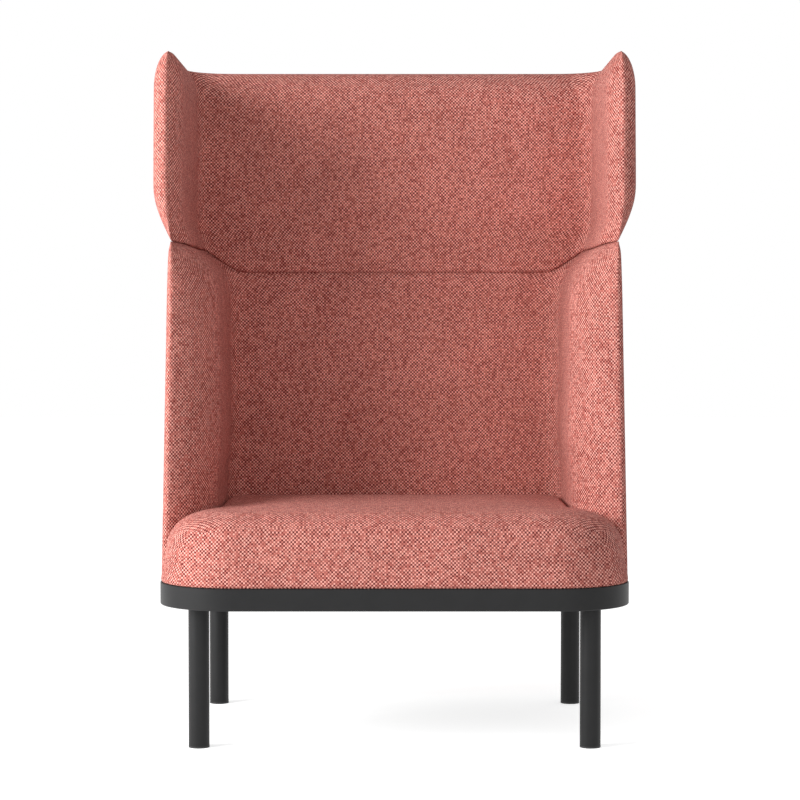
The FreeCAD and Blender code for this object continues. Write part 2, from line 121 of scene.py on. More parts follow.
def cornered(centre: Place, radius: float, first: float, last: float, count: int) -> list[Place]:
    """Give count places round a corner, without the last.

    Args:
        centre: Centre of the corner in plan.
        radius: Radius of the corner.
        first: Angle of the first place in degrees from +X towards the back.
        last: Angle of the last place.
        count: How many places.

    Returns:
        The places in order.
    """
    places = []
    for index in range(count):
        angle = math.radians(mix(first, last, index / count))
        places.append((centre[0] + radius * math.cos(angle), centre[1] + radius * math.sin(angle)))
    return places


def bowed(start: Place, end: Place, bulge: float, count: int) -> list[Place]:
    """Give count places on a bow that stands off the left of its chord, without the end.

    Args:
        start: First place.
        end: Last place.
        bulge: Height of the bow as a share of its chord.
        count: How many places.

    Returns:
        The places in order.
    """
    along_x, along_d = end[0] - start[0], end[1] - start[1]
    places = []
    for index in range(count):
        share = index / count
        rise = 4 * bulge * share * (1 - share)
        places.append((start[0] + along_x * share - along_d * rise,
                       start[1] + along_d * share + along_x * rise))
    return places


@dataclass(frozen=True)
class WallCounts:
    """How many steps each stretch of a wall's half section has; outer and inner add up to the same."""

    edge: int = 5
    side: int = 21
    corner: int = 16
    rear: int = 20
    sweep: int = 12
    wing: int = 16
    bend: int = 10
    back: int = 24


@dataclass(frozen=True)
class Wall:
    """Horizontal section of a padded wall that goes round the sitter in a U with swept noses."""

    outer_half: float
    outer_depth: float
    outer_corner: float
    inner_half: float
    inner_depth: float
    inner_corner: float
    nose: float
    edge_length: float
    crest_half: float
    sweep_length: float
    edge_bulge: float
    sweep_bulge: float
    counts: WallCounts = WallCounts()

    def outer_half_run(self) -> list[Place]:
        """Give the right outer side from the nose's crest up to the middle of the back."""
        edge = (self.outer_half, self.nose + self.edge_length)
        bend = (self.outer_half - self.outer_corner, self.outer_depth - self.outer_corner)
        places = bowed((self.crest_half, self.nose), edge, -self.edge_bulge, self.counts.edge)
        places += straight(edge, (self.outer_half, bend[1]), self.counts.side)
        places += cornered(bend, self.outer_corner, 0, 90, self.counts.corner)
        return places + straight((bend[0], self.outer_depth), (0.0, self.outer_depth), self.counts.rear)

    def inner_half_run(self) -> list[Place]:
        """Give the right inner side from the nose's crest up to the middle of the back."""
        sweep = (self.inner_half, self.nose + self.sweep_length)
        bend = (self.inner_half - self.inner_corner, self.inner_depth - self.inner_corner)
        places = bowed((self.crest_half, self.nose), sweep, self.sweep_bulge, self.counts.sweep)
        places += straight(sweep, (self.inner_half, bend[1]), self.counts.wing)
        places += cornered(bend, self.inner_corner, 0, 90, self.counts.bend)
        return places + straight((bend[0], self.inner_depth), (0.0, self.inner_depth), self.counts.back)

    def ring(self) -> list[Place]:
        """Give the closed section: the outer side from right to left, then the inner side back."""
        outer = self.outer_half_run()
        inner = self.inner_half_run()
        places = outer + [(0.0, self.outer_depth)] + [(-x, d) for x, d in reversed(outer[1:])]
        places += [(-x, d) for x, d in inner] + [(0.0, self.inner_depth)] + list(reversed(inner[1:]))
        return places


def show(mesh: bmesh.types.BMesh, name: str) -> bpy.types.Object:
    """Turn a mesh into an object of the scene.

    Args:
        mesh: The mesh, which is freed.
        name: Name of the object.

    Returns:
        The object.
    """
    data = bpy.data.meshes.new(name)
    mesh.to_mesh(data)
    mesh.free()
    shown = bpy.data.objects.new(name, data)
    bpy.context.scene.collection.objects.link(shown)
    return shown


class Loft:
    """Skin drawn through rings of points by extruding the last ring's edge to the next."""

    def __init__(self, first: Sequence[Vector]) -> None:
        """Start the skin.

        Args:
            first: Points of the first ring.
        """
        self.mesh = bmesh.new()
        circle = bmesh.ops.create_circle(self.mesh, cap_ends=False, segments=len(first), radius=1.0)
        self.ring = circle["verts"]
        for vertex, place in zip(self.ring, first):
            vertex.co = place
        self.rings = [list(self.ring)]

    @classmethod
    def through(cls, rings: Sequence[Sequence[Vector]]) -> "Loft":
        """Draw a skin through rings and close both its ends.

        Args:
            rings: Points of each ring, of which all have as many.

        Returns:
            The skin.
        """
        loft = cls(rings[0])
        for ring in rings[1:]:
            loft.grow(ring)
        loft.close_across(loft.rings[0])
        loft.close_across(loft.rings[-1])
        return loft

    @staticmethod
    def edges(ring: Sequence[bmesh.types.BMVert], closed: bool = True) -> list[bmesh.types.BMEdge]:
        """Give the edges that join a ring's points in order.

        Args:
            ring: The points.
            closed: Whether the last point joins the first.

        Returns:
            The edges.
        """
        pairs = list(zip(ring, ring[1:])) + ([(ring[-1], ring[0])] if closed else [])
        return [next(e for e in a.link_edges if e.other_vert(a) is b) for a, b in pairs]

    def grow(self, places: Sequence[Vector]) -> None:
        """Extrude the last ring to new places.

        Args:
            places: Points of the next ring.
        """
        old = set(self.ring)
        made = bmesh.ops.extrude_edge_only(self.mesh, edges=self.edges(self.ring))["geom"]
        fresh = {v for v in made if isinstance(v, bmesh.types.BMVert)}
        ring = []
        for vertex, place in zip(self.ring, places):
            partner = next(e.other_vert(vertex) for e in vertex.link_edges
                           if e.other_vert(vertex) in fresh and e.other_vert(vertex) not in old)
            partner.co = place
            ring.append(partner)
        self.ring = ring
        self.rings.append(ring)

    def close_across(self, ring: Sequence[bmesh.types.BMVert]) -> None:
        """Close a ring with a strip of faces from its one side to its other.

        Args:
            ring: Points of the ring, whose first and middle ones part the sides.
        """
        half = len(ring) // 2
        outer = self.edges(ring[1:half], closed=False)
        inner = self.edges(ring[half + 1:], closed=False)
        bmesh.ops.bridge_loops(self.mesh, edges=outer + inner)
        for corner in ((ring[0], ring[1], ring[-1]), (ring[half], ring[half - 1], ring[half + 1])):
            bmesh.ops.contextual_create(self.mesh, geom=corner)

    def lay_cloth(self, uvs: Callable[[bmesh.types.BMFace, Vector], Place]) -> None:
        """Write the run of the cloth as a UV map in metres.

        Args:
            uvs: Gives the place in the cloth of a point on a face.
        """
        layer = self.mesh.loops.layers.uv.new(UV_NAME)
        self.mesh.normal_update()
        for face in self.mesh.faces:
            for loop in face.loops:
                loop[layer].uv = uvs(face, loop.vert.co)

    def lay_cloth_by_rings(self) -> None:
        """Run the cloth round the rings and up across them, so that it turns the corners unstretched."""
        layer = self.mesh.loops.layers.uv.new(UV_NAME)
        middle = self.rings[len(self.rings) // 3]
        run = [0.0]
        for a, b in zip(middle, middle[1:] + middle[:1]):
            run.append(run[-1] + (b.co - a.co).length)
        rise = {vertex: vertex.co.z for vertex in self.rings[0]}
        column = {vertex: index for ring in self.rings for index, vertex in enumerate(ring)}
        for lower, upper in zip(self.rings, self.rings[1:]):
            for a, b in zip(lower, upper):
                rise[b] = rise[a] + (b.co - a.co).length
        count = len(middle)
        for face in self.mesh.faces:
            wraps = any(column.get(v) == count - 1 for v in face.verts)
            for loop in face.loops:
                index = column.get(loop.vert, 0)
                if wraps and index == 0:
                    index = count
                loop[layer].uv = (run[index], rise.get(loop.vert, 0.0))

    def finish(self, name: str, levels: int) -> bpy.types.Object:
        """Turn the skin into a shown piece.

        Args:
            name: Name of the piece.
            levels: Subdivision of its surface.

        Returns:
            The piece, with its subdivision applied.
        """
        bmesh.ops.recalc_face_normals(self.mesh, faces=self.mesh.faces)
        for face in self.mesh.faces:
            face.smooth = True
        piece = show(self.mesh, name)
        soften(piece, levels)
        return piece


def soften(piece: bpy.types.Object, levels: int) -> None:
    """Subdivide a piece smoothly and keep the result as its mesh.

    Args:
        piece: The piece.
        levels: How many times each face is split.
    """
    modifier = piece.modifiers.new("soften", "SUBSURF")
    modifier.levels = modifier.render_levels = levels
    keep_modifiers(piece)


def keep_modifiers(piece: bpy.types.Object) -> None:
    """Replace a piece's mesh by what its modifiers make of it."""
    made = bpy.data.meshes.new_from_object(piece.evaluated_get(bpy.context.evaluated_depsgraph_get()))
    piece.modifiers.clear()
    old = piece.data
    piece.data = made
    made.name = piece.name
    bpy.data.meshes.remove(old)


@dataclass(frozen=True)
class Plump:
    """Air pressure that swells a pad a little, worked out by the cloth solver on a coarse copy."""

    voxel: float = 0.008
    pressure: float = 4.0
    frames: int = 20
    cap: float = 0.004
    neighbours: int = 6

    def coarse_copy(self, piece: bpy.types.Object, held: Callable[[Vector], bool]) -> bpy.types.Object:
        """Copy a piece as an even grid of faces.

        Args:
            piece: The piece.
            held: Says whether a point is held fast.

        Returns:
            The copy, with its held points in a vertex group.
        """
        copy = bpy.data.objects.new("plump", piece.data.copy())
        bpy.context.scene.collection.objects.link(copy)
        grid = copy.modifiers.new("grid", "REMESH")
        grid.mode = "VOXEL"
        grid.voxel_size = self.voxel
        keep_modifiers(copy)
        group = copy.vertex_groups.new(name="held")
        group.add([v.index for v in copy.data.vertices if held(v.co)], 1.0, "REPLACE")
        return copy

    def moves(self, copy: bpy.types.Object) -> tuple[list[Vector], list[Vector]]:
        """Blow the copy up.

        Args:
            copy: The coarse copy.

        Returns:
            Each of its points at rest, and how far the pressure moves it.
        """
        cloth = copy.modifiers.new("air", "CLOTH")
        cloth.settings.use_pressure = True
        cloth.settings.uniform_pressure_force = self.pressure
        cloth.settings.vertex_group_mass = "held"
        cloth.settings.effector_weights.gravity = 0.0
        cloth.collision_settings.use_collision = False
        for number in range(1, self.frames + 1):
            bpy.context.scene.frame_set(number)
        rest = [v.co.copy() for v in copy.data.vertices]
        made = bpy.data.meshes.new_from_object(copy.evaluated_get(bpy.context.evaluated_depsgraph_get()))
        shifts = [v.co - place for v, place in zip(made.vertices, rest)]
        bpy.data.meshes.remove(made)
        return rest, shifts

    def swell(self, piece: bpy.types.Object, held: Callable[[Vector], bool],
              free: Callable[[Vector], float]) -> None:
        """Move a piece's points as the pressure moves the copy's, up to the cap.

        Args:
            piece: The piece.
            held: Says whether a point is held fast.
            free: Gives how freely a point may move, from 0 to 1.
        """
        copy = self.coarse_copy(piece, held)
        rest, shifts = self.moves(copy)
        tree = kdtree.KDTree(len(rest))
        for index, place in enumerate(rest):
            tree.insert(place, index)
        tree.balance()
        for vertex in piece.data.vertices:
            near = [(index, 1 / (distance + self.voxel / 4)) for _, index, distance
                    in tree.find_n(vertex.co, self.neighbours)]
            total = sum(weight for _, weight in near)
            shift = sum((shifts[index] * weight for index, weight in near), Vector()) / total
            vertex.co += shift * (self.cap / (self.cap + shift.length)) * free(vertex.co)
        furthest = max(shift.length for shift in shifts)
        LOG.info("%s swells by up to %.1f mm before its cap", piece.name, 1000 * furthest)
        data = copy.data
        bpy.data.objects.remove(copy)
        bpy.data.meshes.remove(data)
        bpy.context.scene.frame_set(1)


def boxed_run(face: bmesh.types.BMFace, place: Vector) -> Place:
    """Lay the cloth straight on from the side that a face looks to."""
    normal = face.normal
    if abs(normal.z) >= max(abs(normal.x), abs(normal.y)):
        return place.x, place.y
    if abs(normal.y) >= abs(normal.x):
        return place.x, place.z
    return place.y, place.z


# Finishes


class Nodes:
    """Short way to build a node tree."""

    def __init__(self, tree: bpy.types.NodeTree) -> None:
        """Take the tree to build in."""
        self.tree = tree

    def add(self, kind: str, **values: object) -> bpy.types.Node:
        """Add a node.

        Args:
            kind: Blender's name of the node without the ShaderNode in front.
            values: Settings of the node, or sockets, with underscores for spaces, numbered ones as s0, s1.

        Returns:
            The node.
        """
        node = self.tree.nodes.new(kind if kind.startswith("Node") else "ShaderNode" + kind)
        for key, value in values.items():
            if hasattr(node, key) and not isinstance(value, bpy.types.NodeSocket):
                setattr(node, key, value)
                continue
            socket = node.inputs[int(key[1:])] if key[0] == "s" and key[1:].isdigit() \
                else node.inputs[key.replace("_", " ")]
            if isinstance(value, bpy.types.NodeSocket):
                self.tree.links.new(value, socket)
            else:
                socket.default_value = value
        return node

    def sum(self, operation: str, first: object, second: object = 0.0, third: object = 0.0) \
            -> bpy.types.NodeSocket:
        """Work out a number.

        Args:
            operation: Name of the sum.
            first: First number or socket.
            second: Second one.
            third: Third one.

        Returns:
            The result's socket.
        """
        return self.add("Math", operation=operation, s0=first, s1=second, s2=third).outputs[0]

    def colour_mix(self, share: object, first: object, second: object) -> bpy.types.NodeSocket:
        """Mix two colours.

        Args:
            share: How much of the second.
            first: First colour or socket.
            second: Second one.

        Returns:
            The mixed colour's socket.
        """
        node = self.add("Mix", data_type="RGBA")
        for socket, value in ((node.inputs[0], share), (node.inputs[6], first), (node.inputs[7], second)):
            if isinstance(value, bpy.types.NodeSocket):
                self.tree.links.new(value, socket)
            else:
                socket.default_value = (*value, 1.0) if isinstance(value, tuple) else value
        return node.outputs[2]

    def band(self, value: object, low: float, high: float, first: float = 0.0, last: float = 1.0) \
            -> bpy.types.NodeSocket:
        """Map a number from one range to another with soft ends.

        Args:
            value: The number's socket.
            low: Bottom of the range.
            high: Top of it.
            first: What the bottom becomes.
            last: What the top becomes.

        Returns:
            The result's socket.
        """
        node = self.add("MapRange", interpolation_type="SMOOTHSTEP",
                        s0=value, s1=low, s2=high, s3=first, s4=last)
        return node.outputs[0]


def group_tree(name: str, inputs: Sequence[tuple[str, str, object]], outputs: Sequence[tuple[str, str]]) \
        -> tuple[bpy.types.NodeTree, Nodes, bpy.types.Node, bpy.types.Node]:
    """Start a node group.

    Args:
        name: Name of the group.
        inputs: Name, socket kind and default of each input.
        outputs: Name and socket kind of each output.

    Returns:
        The group, its builder, and its input and output nodes.
    """
    tree = bpy.data.node_groups.new(name, "ShaderNodeTree")
    for label, kind, value in inputs:
        socket = tree.interface.new_socket(name=label, in_out="INPUT", socket_type=kind)
        if value is not None:
            socket.default_value = value
    for label, kind in outputs:
        tree.interface.new_socket(name=label, in_out="OUTPUT", socket_type=kind)
    nodes = Nodes(tree)
    return tree, nodes, nodes.add("NodeGroupInput"), nodes.add("NodeGroupOutput")


class Group:
    """Node group, built when it is first asked for."""

    NAME = ""

    @classmethod
    def get(cls) -> bpy.types.NodeTree:
        """Give the group, built once."""
        return bpy.data.node_groups.get(cls.NAME) or cls.build()

    @classmethod
    def build(cls) -> bpy.types.NodeTree:
        """Build the group."""
        raise NotImplementedError


class WeaveGroup(Group):
    """Two-tone weave: a check of threads over and under, flecked with lighter and darker wool, with painted
    shade darkening the grooves between the threads.
    """

    NAME = "twill_melange"
    DRIFT = (0.8, 0.8, 0.0)
    HUMP_POWER = 0.6
    FLECK_SHARE = 0.38
    CHECK_SHARE = 1.24
    LIGHTER = (0.50, 0.95)
    DARKER = (0.44, 0.05)
    # Painted shade: where the thread hump is low, between the threads, the colour is darkened towards the
    # dark wool.
    GROOVE_SHADE = (0.15, 0.62, 0.45, 0.0)

    @classmethod
    def build(cls) -> bpy.types.NodeTree:
        """Build the group."""
        tree, n, start, end = group_tree(
            cls.NAME,
            [("Vector", "NodeSocketVector", None), ("Threads", "NodeSocketFloat", 300.0),
             ("Light", "NodeSocketColor", (0.8, 0.4, 0.3, 1.0)),
             ("Body", "NodeSocketColor", (0.5, 0.15, 0.1, 1.0)),
             ("Dark", "NodeSocketColor", (0.2, 0.03, 0.03, 1.0)), ("Fleck", "NodeSocketFloat", 1.0)],
            [("Colour", "NodeSocketColor"), ("Height", "NodeSocketFloat"), ("Roughness", "NodeSocketFloat")])
        vector, threads = start.outputs["Vector"], start.outputs["Threads"]
        scaled = n.add("VectorMath", operation="SCALE", s0=vector, Scale=threads).outputs[0]
        drift = n.add("TexNoise", noise_dimensions="2D", Vector=scaled, Scale=0.08, Detail=1.0)
        offset = n.add("VectorMath", operation="MULTIPLY_ADD", s0=drift.outputs["Color"], s1=cls.DRIFT,
                       s2=scaled)
        parts = n.add("SeparateXYZ", Vector=offset.outputs[0])
        u, v = parts.outputs[0], parts.outputs[1]
        row, column = n.sum("FLOOR", v), n.sum("FLOOR", u)
        hump_u = n.sum("SINE", n.sum("MULTIPLY", n.sum("FRACT", u), math.pi))
        hump_v = n.sum("SINE", n.sum("MULTIPLY", n.sum("FRACT", v), math.pi))
        hump = n.sum("MULTIPLY", n.sum("POWER", hump_u, cls.HUMP_POWER),
                     n.sum("POWER", hump_v, cls.HUMP_POWER))
        cell = n.add("CombineXYZ", s0=column, s1=row).outputs[0]
        random = n.add("TexWhiteNoise", noise_dimensions="2D", Vector=cell)
        over = n.sum("FRACT", n.sum("MULTIPLY", n.sum("ADD", column, row), 0.5))
        value = n.sum("MULTIPLY_ADD", random.outputs["Value"], cls.FLECK_SHARE,
                      n.sum("MULTIPLY", over, cls.CHECK_SHARE))
        other = n.add("SeparateXYZ", Vector=random.outputs["Color"]).outputs[1]
        lighter = n.sum("MULTIPLY", n.band(value, *cls.LIGHTER), start.outputs["Fleck"])
        darker = n.sum("MULTIPLY", n.band(value, *cls.DARKER), start.outputs["Fleck"])
        body = n.colour_mix(lighter, start.outputs["Body"], start.outputs["Light"])
        body = n.colour_mix(darker, body, start.outputs["Dark"])
        # Painted shade in the grooves between the threads, taken from the hump's height.
        gap = n.band(hump, *cls.GROOVE_SHADE)
        shade = n.colour_mix(gap, body, start.outputs["Dark"])
        height = n.sum("MULTIPLY", hump, n.band(other, 0.0, 1.0, 0.65, 1.0))
        rough = n.band(value, 0.0, 1.0, 0.86, 0.97)
        for socket, source in (("Colour", shade), ("Height", height), ("Roughness", rough)):
            tree.links.new(source, end.inputs[socket])
        return tree


class MottleGroup(Group):
    """Slow change of tone over a piece: a cloud of noise that lightens and darkens a colour."""

    NAME = "slow_mottle"

    @classmethod
    def build(cls) -> bpy.types.NodeTree:
        """Build the group."""
        tree, n, start, end = group_tree(
            cls.NAME,
            [("Colour", "NodeSocketColor", (0.5, 0.5, 0.5, 1.0)), ("Vector", "NodeSocketVector", None),
             ("Scale", "NodeSocketFloat", 8.0), ("Amount", "NodeSocketFloat", 0.1)],
            [("Colour", "NodeSocketColor"), ("Cloud", "NodeSocketFloat")])
        cloud = n.add("TexNoise", Vector=start.outputs["Vector"], Scale=start.outputs["Scale"], Detail=4.0,
                      Roughness=0.6).outputs[0]
        amount = start.outputs["Amount"]
        gain = n.sum("MULTIPLY_ADD", n.band(cloud, 0.3, 0.7, -1.0, 1.0), amount, 1.0)
        spread = n.add("CombineXYZ", s0=gain, s1=gain, s2=gain).outputs[0]
        toned = n.add("VectorMath", operation="MULTIPLY", s0=start.outputs["Colour"], s1=spread).outputs[0]
        tree.links.new(toned, end.inputs["Colour"])
        tree.links.new(cloud, end.inputs["Cloud"])
        return tree


class Finish:
    """What every finish shares: a material with one Principled shader."""

    def material(self, name: str) -> bpy.types.Material:
        """Build the material.

        Args:
            name: Name of the material.

        Returns:
            The material.
        """
        material = bpy.data.materials.new(name)
        material.use_nodes = True
        material.node_tree.nodes.clear()
        n = Nodes(material.node_tree)
        shader = n.add("BsdfPrincipled")
        output = n.add("OutputMaterial")
        n.tree.links.new(shader.outputs[0], output.inputs[0])
        self.paint(n, shader, n.add("TexCoord").outputs["Object"])
        return material

    def paint(self, n: Nodes, shader: bpy.types.Node, place: bpy.types.NodeSocket) -> None:
        """Give the shader its look.

        Args:
            n: Builder of the material.
            shader: The shader.
            place: Where a point is on its piece.
        """
        raise NotImplementedError

    @staticmethod
    def plug(n: Nodes, shader: bpy.types.Node, colour: bpy.types.NodeSocket,
             roughness: bpy.types.NodeSocket, relief: bpy.types.NodeSocket, bump: Place) -> None:
        """Plug a colour, a roughness and a relief into a shader.

        Args:
            n: Builder of the material.
            shader: The shader.
            colour: The colour's socket.
            roughness: The roughness's socket.
            relief: The height's socket.
            bump: Strength of the relief, and its depth in metres.
        """
        raised = n.add("Bump", Strength=bump[0], Distance=bump[1], Height=relief).outputs[0]
        for name, socket in (("Base Color", colour), ("Roughness", roughness), ("Normal", raised)):
            n.tree.links.new(socket, shader.inputs[name])

    @staticmethod
    def placed_group(n: Nodes, tree: bpy.types.NodeTree, **values: object) -> bpy.types.Node:
        """Place a group in a material.

        Args:
            n: Builder of the material.
            tree: The group.
            values: Its inputs, with underscores for spaces.

        Returns:
            The group's node.
        """
        node = n.tree.nodes.new("ShaderNodeGroup")
        node.node_tree = tree
        for key, value in values.items():
            socket = node.inputs[key.replace("_", " ")]
            if isinstance(value, bpy.types.NodeSocket):
                n.tree.links.new(value, socket)
            else:
                socket.default_value = (*value, 1.0) if isinstance(value, tuple) else value
        return node


@dataclass(frozen=True)
class WoolTwill(Finish):
    """Heavy two-tone wool of the upholstery."""

    light: Colour = (0.93, 0.44, 0.37)
    body: Colour = (0.50, 0.140, 0.112)
    # Darker wool of the flecks, also used for the painted shade in the grooves between the threads.
    dark: Colour = (0.145, 0.020, 0.019)
    threads: float = 298.0
    specular: float = 0.10
    sheen: float = 0.04
    sheen_roughness: float = 0.45
    sheen_tint: Colour = (1.0, 0.78, 0.72)
    fuzz: float = 0.35
    bump: Place = (0.55, 0.0006)

    def paint(self, n: Nodes, shader: bpy.types.Node, place: bpy.types.NodeSocket) -> None:
        """Paint the weave, slowly mottled over the piece and fuzzy from close by."""
        run = n.add("UVMap", uv_map=UV_NAME).outputs[0]
        weave = self.placed_group(n, WeaveGroup.get(), Vector=run, Threads=self.threads, Light=self.light,
                                  Body=self.body, Dark=self.dark, Fleck=1.0)
        tone = self.placed_group(n, MottleGroup.get(), Colour=weave.outputs["Colour"], Vector=place,
                                 Scale=9.0, Amount=0.05)
        fuzz = n.add("TexNoise", Vector=place, Scale=900.0, Detail=2.0).outputs[0]
        height = n.sum("MULTIPLY_ADD", fuzz, self.fuzz, weave.outputs["Height"])
        self.plug(n, shader, tone.outputs["Colour"], weave.outputs["Roughness"], height, self.bump)
        shader.inputs["Specular IOR Level"].default_value = self.specular
        shader.inputs["Sheen Weight"].default_value = self.sheen
        shader.inputs["Sheen Roughness"].default_value = self.sheen_roughness
        shader.inputs["Sheen Tint"].default_value = (*self.sheen_tint, 1.0)


@dataclass(frozen=True)
class PowderCoat(Finish):
    """Satin black powder coat with a fine orange peel."""

    colour: Colour = (0.0105, 0.0105, 0.011)
    specular: float = 0.25

    def paint(self, n: Nodes, shader: bpy.types.Node, place: bpy.types.NodeSocket) -> None:
        """Paint the coat, whose gloss changes with its peel."""
        tone = self.placed_group(n, MottleGroup.get(), Colour=self.colour, Vector=place, Scale=30.0,
                                 Amount=0.10)
        peel = n.add("TexNoise", Vector=place, Scale=1400.0, Detail=2.0).outputs[0]
        self.plug(n, shader, tone.outputs["Colour"], n.band(peel, 0.3, 0.7, 0.40, 0.50), peel,
                  (0.25, 0.0002))
        shader.inputs["Specular IOR Level"].default_value = self.specular


@dataclass(frozen=True)
class MouldedNylon(Finish):
    """Black nylon of the glides, scuffed grey where it meets the floor."""

    colour: Colour = (0.022, 0.022, 0.023)
    scuff: Colour = (0.10, 0.098, 0.094)

    def paint(self, n: Nodes, shader: bpy.types.Node, place: bpy.types.NodeSocket) -> None:
        """Paint the nylon, worn in specks on its lowest millimetre."""
        height = n.add("SeparateXYZ", Vector=place).outputs[2]
        grain = n.add("TexNoise", Vector=place, Scale=800.0, Detail=3.0).outputs[0]
        worn = n.sum("MULTIPLY", n.band(height, 0.0015, 0.0, 0.0, 0.8), n.band(grain, 0.4, 0.6))
        self.plug(n, shader, n.colour_mix(worn, self.colour, self.scuff),
                  n.band(grain, 0.3, 0.7, 0.5, 0.66), grain, (0.2, 0.0002))


@dataclass(frozen=True)
class ZincPlate(Finish):
    """Bright zinc plating with a faint yellow cloud and fine scratches."""

    colour: Colour = (0.62, 0.63, 0.64)
    cloud: Colour = (0.56, 0.54, 0.47)

    def paint(self, n: Nodes, shader: bpy.types.Node, place: bpy.types.NodeSocket) -> None:
        """Paint the clouded plating."""
        cloud = n.add("TexNoise", Vector=place, Scale=60.0, Detail=3.0).outputs[0]
        fine = n.add("TexNoise", Vector=place, Scale=1500.0, Detail=2.0).outputs[0]
        self.plug(n, shader, n.colour_mix(n.band(cloud, 0.4, 0.7), self.colour, self.cloud),
                  n.band(fine, 0.3, 0.7, 0.28, 0.44), fine, (0.15, 0.0001))
        shader.inputs["Metallic"].default_value = 1.0


@dataclass(frozen=True)
class BirchPly(Finish):
    """Raw birch plywood, with its grain along X."""

    pale: Colour = (0.66, 0.48, 0.30)
    grain: Colour = (0.46, 0.29, 0.16)

    def paint(self, n: Nodes, shader: bpy.types.Node, place: bpy.types.NodeSocket) -> None:
        """Paint the grain: broad figure with fine streaks in it."""
        stretched = n.add("Mapping", Vector=place, Scale=(3.0, 40.0, 40.0)).outputs[0]
        figure = n.add("TexNoise", Vector=stretched, Scale=3.0, Detail=5.0, Distortion=0.6).outputs[0]
        fine = n.add("TexNoise", Vector=stretched, Scale=22.0, Detail=3.0).outputs[0]
        share = n.sum("MULTIPLY_ADD", n.band(fine, 0.35, 0.7), 0.3, n.band(figure, 0.4, 0.75, 0.0, 0.6))
        self.plug(n, shader, n.colour_mix(share, self.pale, self.grain),
                  n.band(fine, 0.3, 0.7, 0.55, 0.7), fine, (0.2, 0.0003))


@dataclass(frozen=True)
class NonWoven(Finish):
    """Black spunbond cloth under the seat: pressed in points, fibres between them."""

    colour: Colour = (0.018, 0.018, 0.019)
    fibre: Colour = (0.05, 0.05, 0.052)

    def paint(self, n: Nodes, shader: bpy.types.Node, place: bpy.types.NodeSocket) -> None:
        """Paint the pressed points and the fibres."""
        points = n.add("TexVoronoi", voronoi_dimensions="2D", Vector=place, Scale=420.0, Randomness=0.25)
        fibres = n.add("TexNoise", Vector=place, Scale=500.0, Detail=4.0, Distortion=2.5).outputs[0]
        pressed = n.band(points.outputs[0], 0.12, 0.3)
        share = n.sum("MULTIPLY", pressed, n.band(fibres, 0.4, 0.65))
        self.plug(n, shader, n.colour_mix(share, self.colour, self.fibre),
                  n.band(fibres, 0.3, 0.7, 0.75, 0.9), pressed, (0.5, 0.0004))


class Finishes:
    """The materials, one for each of the record's slots."""

    def __init__(self) -> None:
        """Build every material."""
        self.wool = WoolTwill().material("wool_twill")
        self.coat = PowderCoat().material("black_powder_coat")
        self.nylon = MouldedNylon().material("moulded_nylon")
        self.zinc = ZincPlate().material("zinc_plate")
        self.ply = BirchPly().material("birch_plywood")
        self.cloth = NonWoven().material("non_woven")

    @staticmethod
    def dress(piece: bpy.types.Object, material: bpy.types.Material) -> None:
        """Give a piece one material throughout."""
        piece.data.materials.clear()
        piece.data.materials.append(material)


class Slot(Enum):
    """Names of the record's slots for the scene's own pieces; no piece is given one here."""

    ZINC = "zinc_steel"
    FABRIC = "coral_fabric"
    DUST = "dust_cloth"


# The chair


